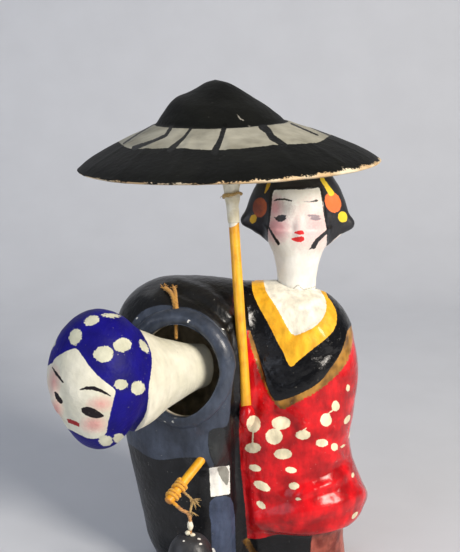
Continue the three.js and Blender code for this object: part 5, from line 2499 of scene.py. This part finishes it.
@dataclass
class HeadString:
    """Twine from the man's neck up through his robe, and its two ends pasted down outside."""

    place: tuple[float, float] = (-25, -16)
    diameter: float = 1.5

    def build(self, robes: RobeShell, head: BowedHead) -> None:
        """Lay the string from the neck to the shell, split it, and lay each end on the robe.

        Args:
            robes: the shell that it comes out of.
            head: the head that hangs on it.
        """
        up = np.array([UP])
        under = np.array([[*self.place, head.centre[2]]])
        foot = under + up * (reach(head.distance, under, up, 20.0)[:, None] + 0.3 + self.diameter / 2)
        top = foot + up * reach(robes.distance, foot, up, 40.0)[:, None]
        on_robe = [self.lifted(robes, xy) for xy in ((173.5, 300), (170, 293.5), (163.5, 289))]
        other = [self.lifted(robes, xy) for xy in ((175.5, 299), (175, 293), (173.2, 288))]
        exit_ = top[0] + np.array([0, 0, 1.2])
        main = smooth_path((foot[0], (foot[0] + top[0]) / 2, top[0], exit_), 0.35)
        first = smooth_path((exit_ + [0.1, 0.2, -1.4], *on_robe), 0.35)
        second = smooth_path((exit_ + [0.3, 0, -0.6], *other), 0.35)
        parts = [
            Twine(self.diameter, 3, 4.4, 0.16).along(main),
            Twine(self.diameter * 1.45, 3, 4.4, 0.2).along(first, taper=0.2),
            Twine(self.diameter * 1.3, 3, 4.0, 0.2, 14).along(second, taper=0.25),
        ]
        for i in range(22):
            end = (first if i % 2 else second)[-1 - (i // 2) % 5]
            angle = i * 2.4
            start = end + 0.5 * np.array([math.cos(angle), 0.4 * math.sin(angle), math.sin(angle)])
            out = np.array([0.9 * math.cos(angle), -0.25, 0.6 * math.sin(angle) + 0.4])
            tip = start + out * (1.3 + 0.6 * math.sin(i * 3.1))
            parts.append(whisker(start, start + out * 0.6, tip, 0.4))
        surface, values = joined(parts)
        obj = merged(make_object("head_string", surface, HEAD_TWINE.build(), Body.FIGURE, values))
        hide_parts("head_cord")
        LOG.info("head string: %d faces", len(obj.data.polygons))

    def lifted(self, robes: RobeShell, pixel: tuple[float, float]) -> Array:
        """The robe's surface seen at a pixel, lifted by the string's radius.

        Args:
            robes: the shell that it lies on.
            pixel: pixel x and y.

        Returns:
            The point, in mm.
        """
        return VIEW.hit(robes.distance, pixel) + np.array([0, -0.3, 0.9]) * self.diameter * 0.55


def dress_robes(robes: RobeShell) -> None:
    """Make the robes' shell and paint it.

    Args:
        robes: the shell.
    """
    surface = robes.build()
    obj = make_object(
        "painted_robe_shell", surface, ROBE_PAINT.build(), Body.FIGURE, robes.paints(surface)
    )
    obj.data.set_sharp_from_angle(angle=math.radians(SHARP_EDGE_DEG))
    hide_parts("couple_body")
    LOG.info("robes: %d faces", len(obj.data.polygons))


def write_sizes() -> None:
    """Bring the view layer up to date."""
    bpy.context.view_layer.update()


def main() -> None:
    """Build the studio and every piece in order."""
    logging.basicConfig(level=logging.INFO, format="%(name)s: %(message)s")
    Studio().build()
    LanternSet().build()
    robes, head = RobeShell(), BowedHead()
    dress_robes(robes)
    head.build()
    HeadString().build(robes, head)
    LadyHead().build()
    Umbrella().build()
    write_sizes()


if __name__ == "__main__":
    main()
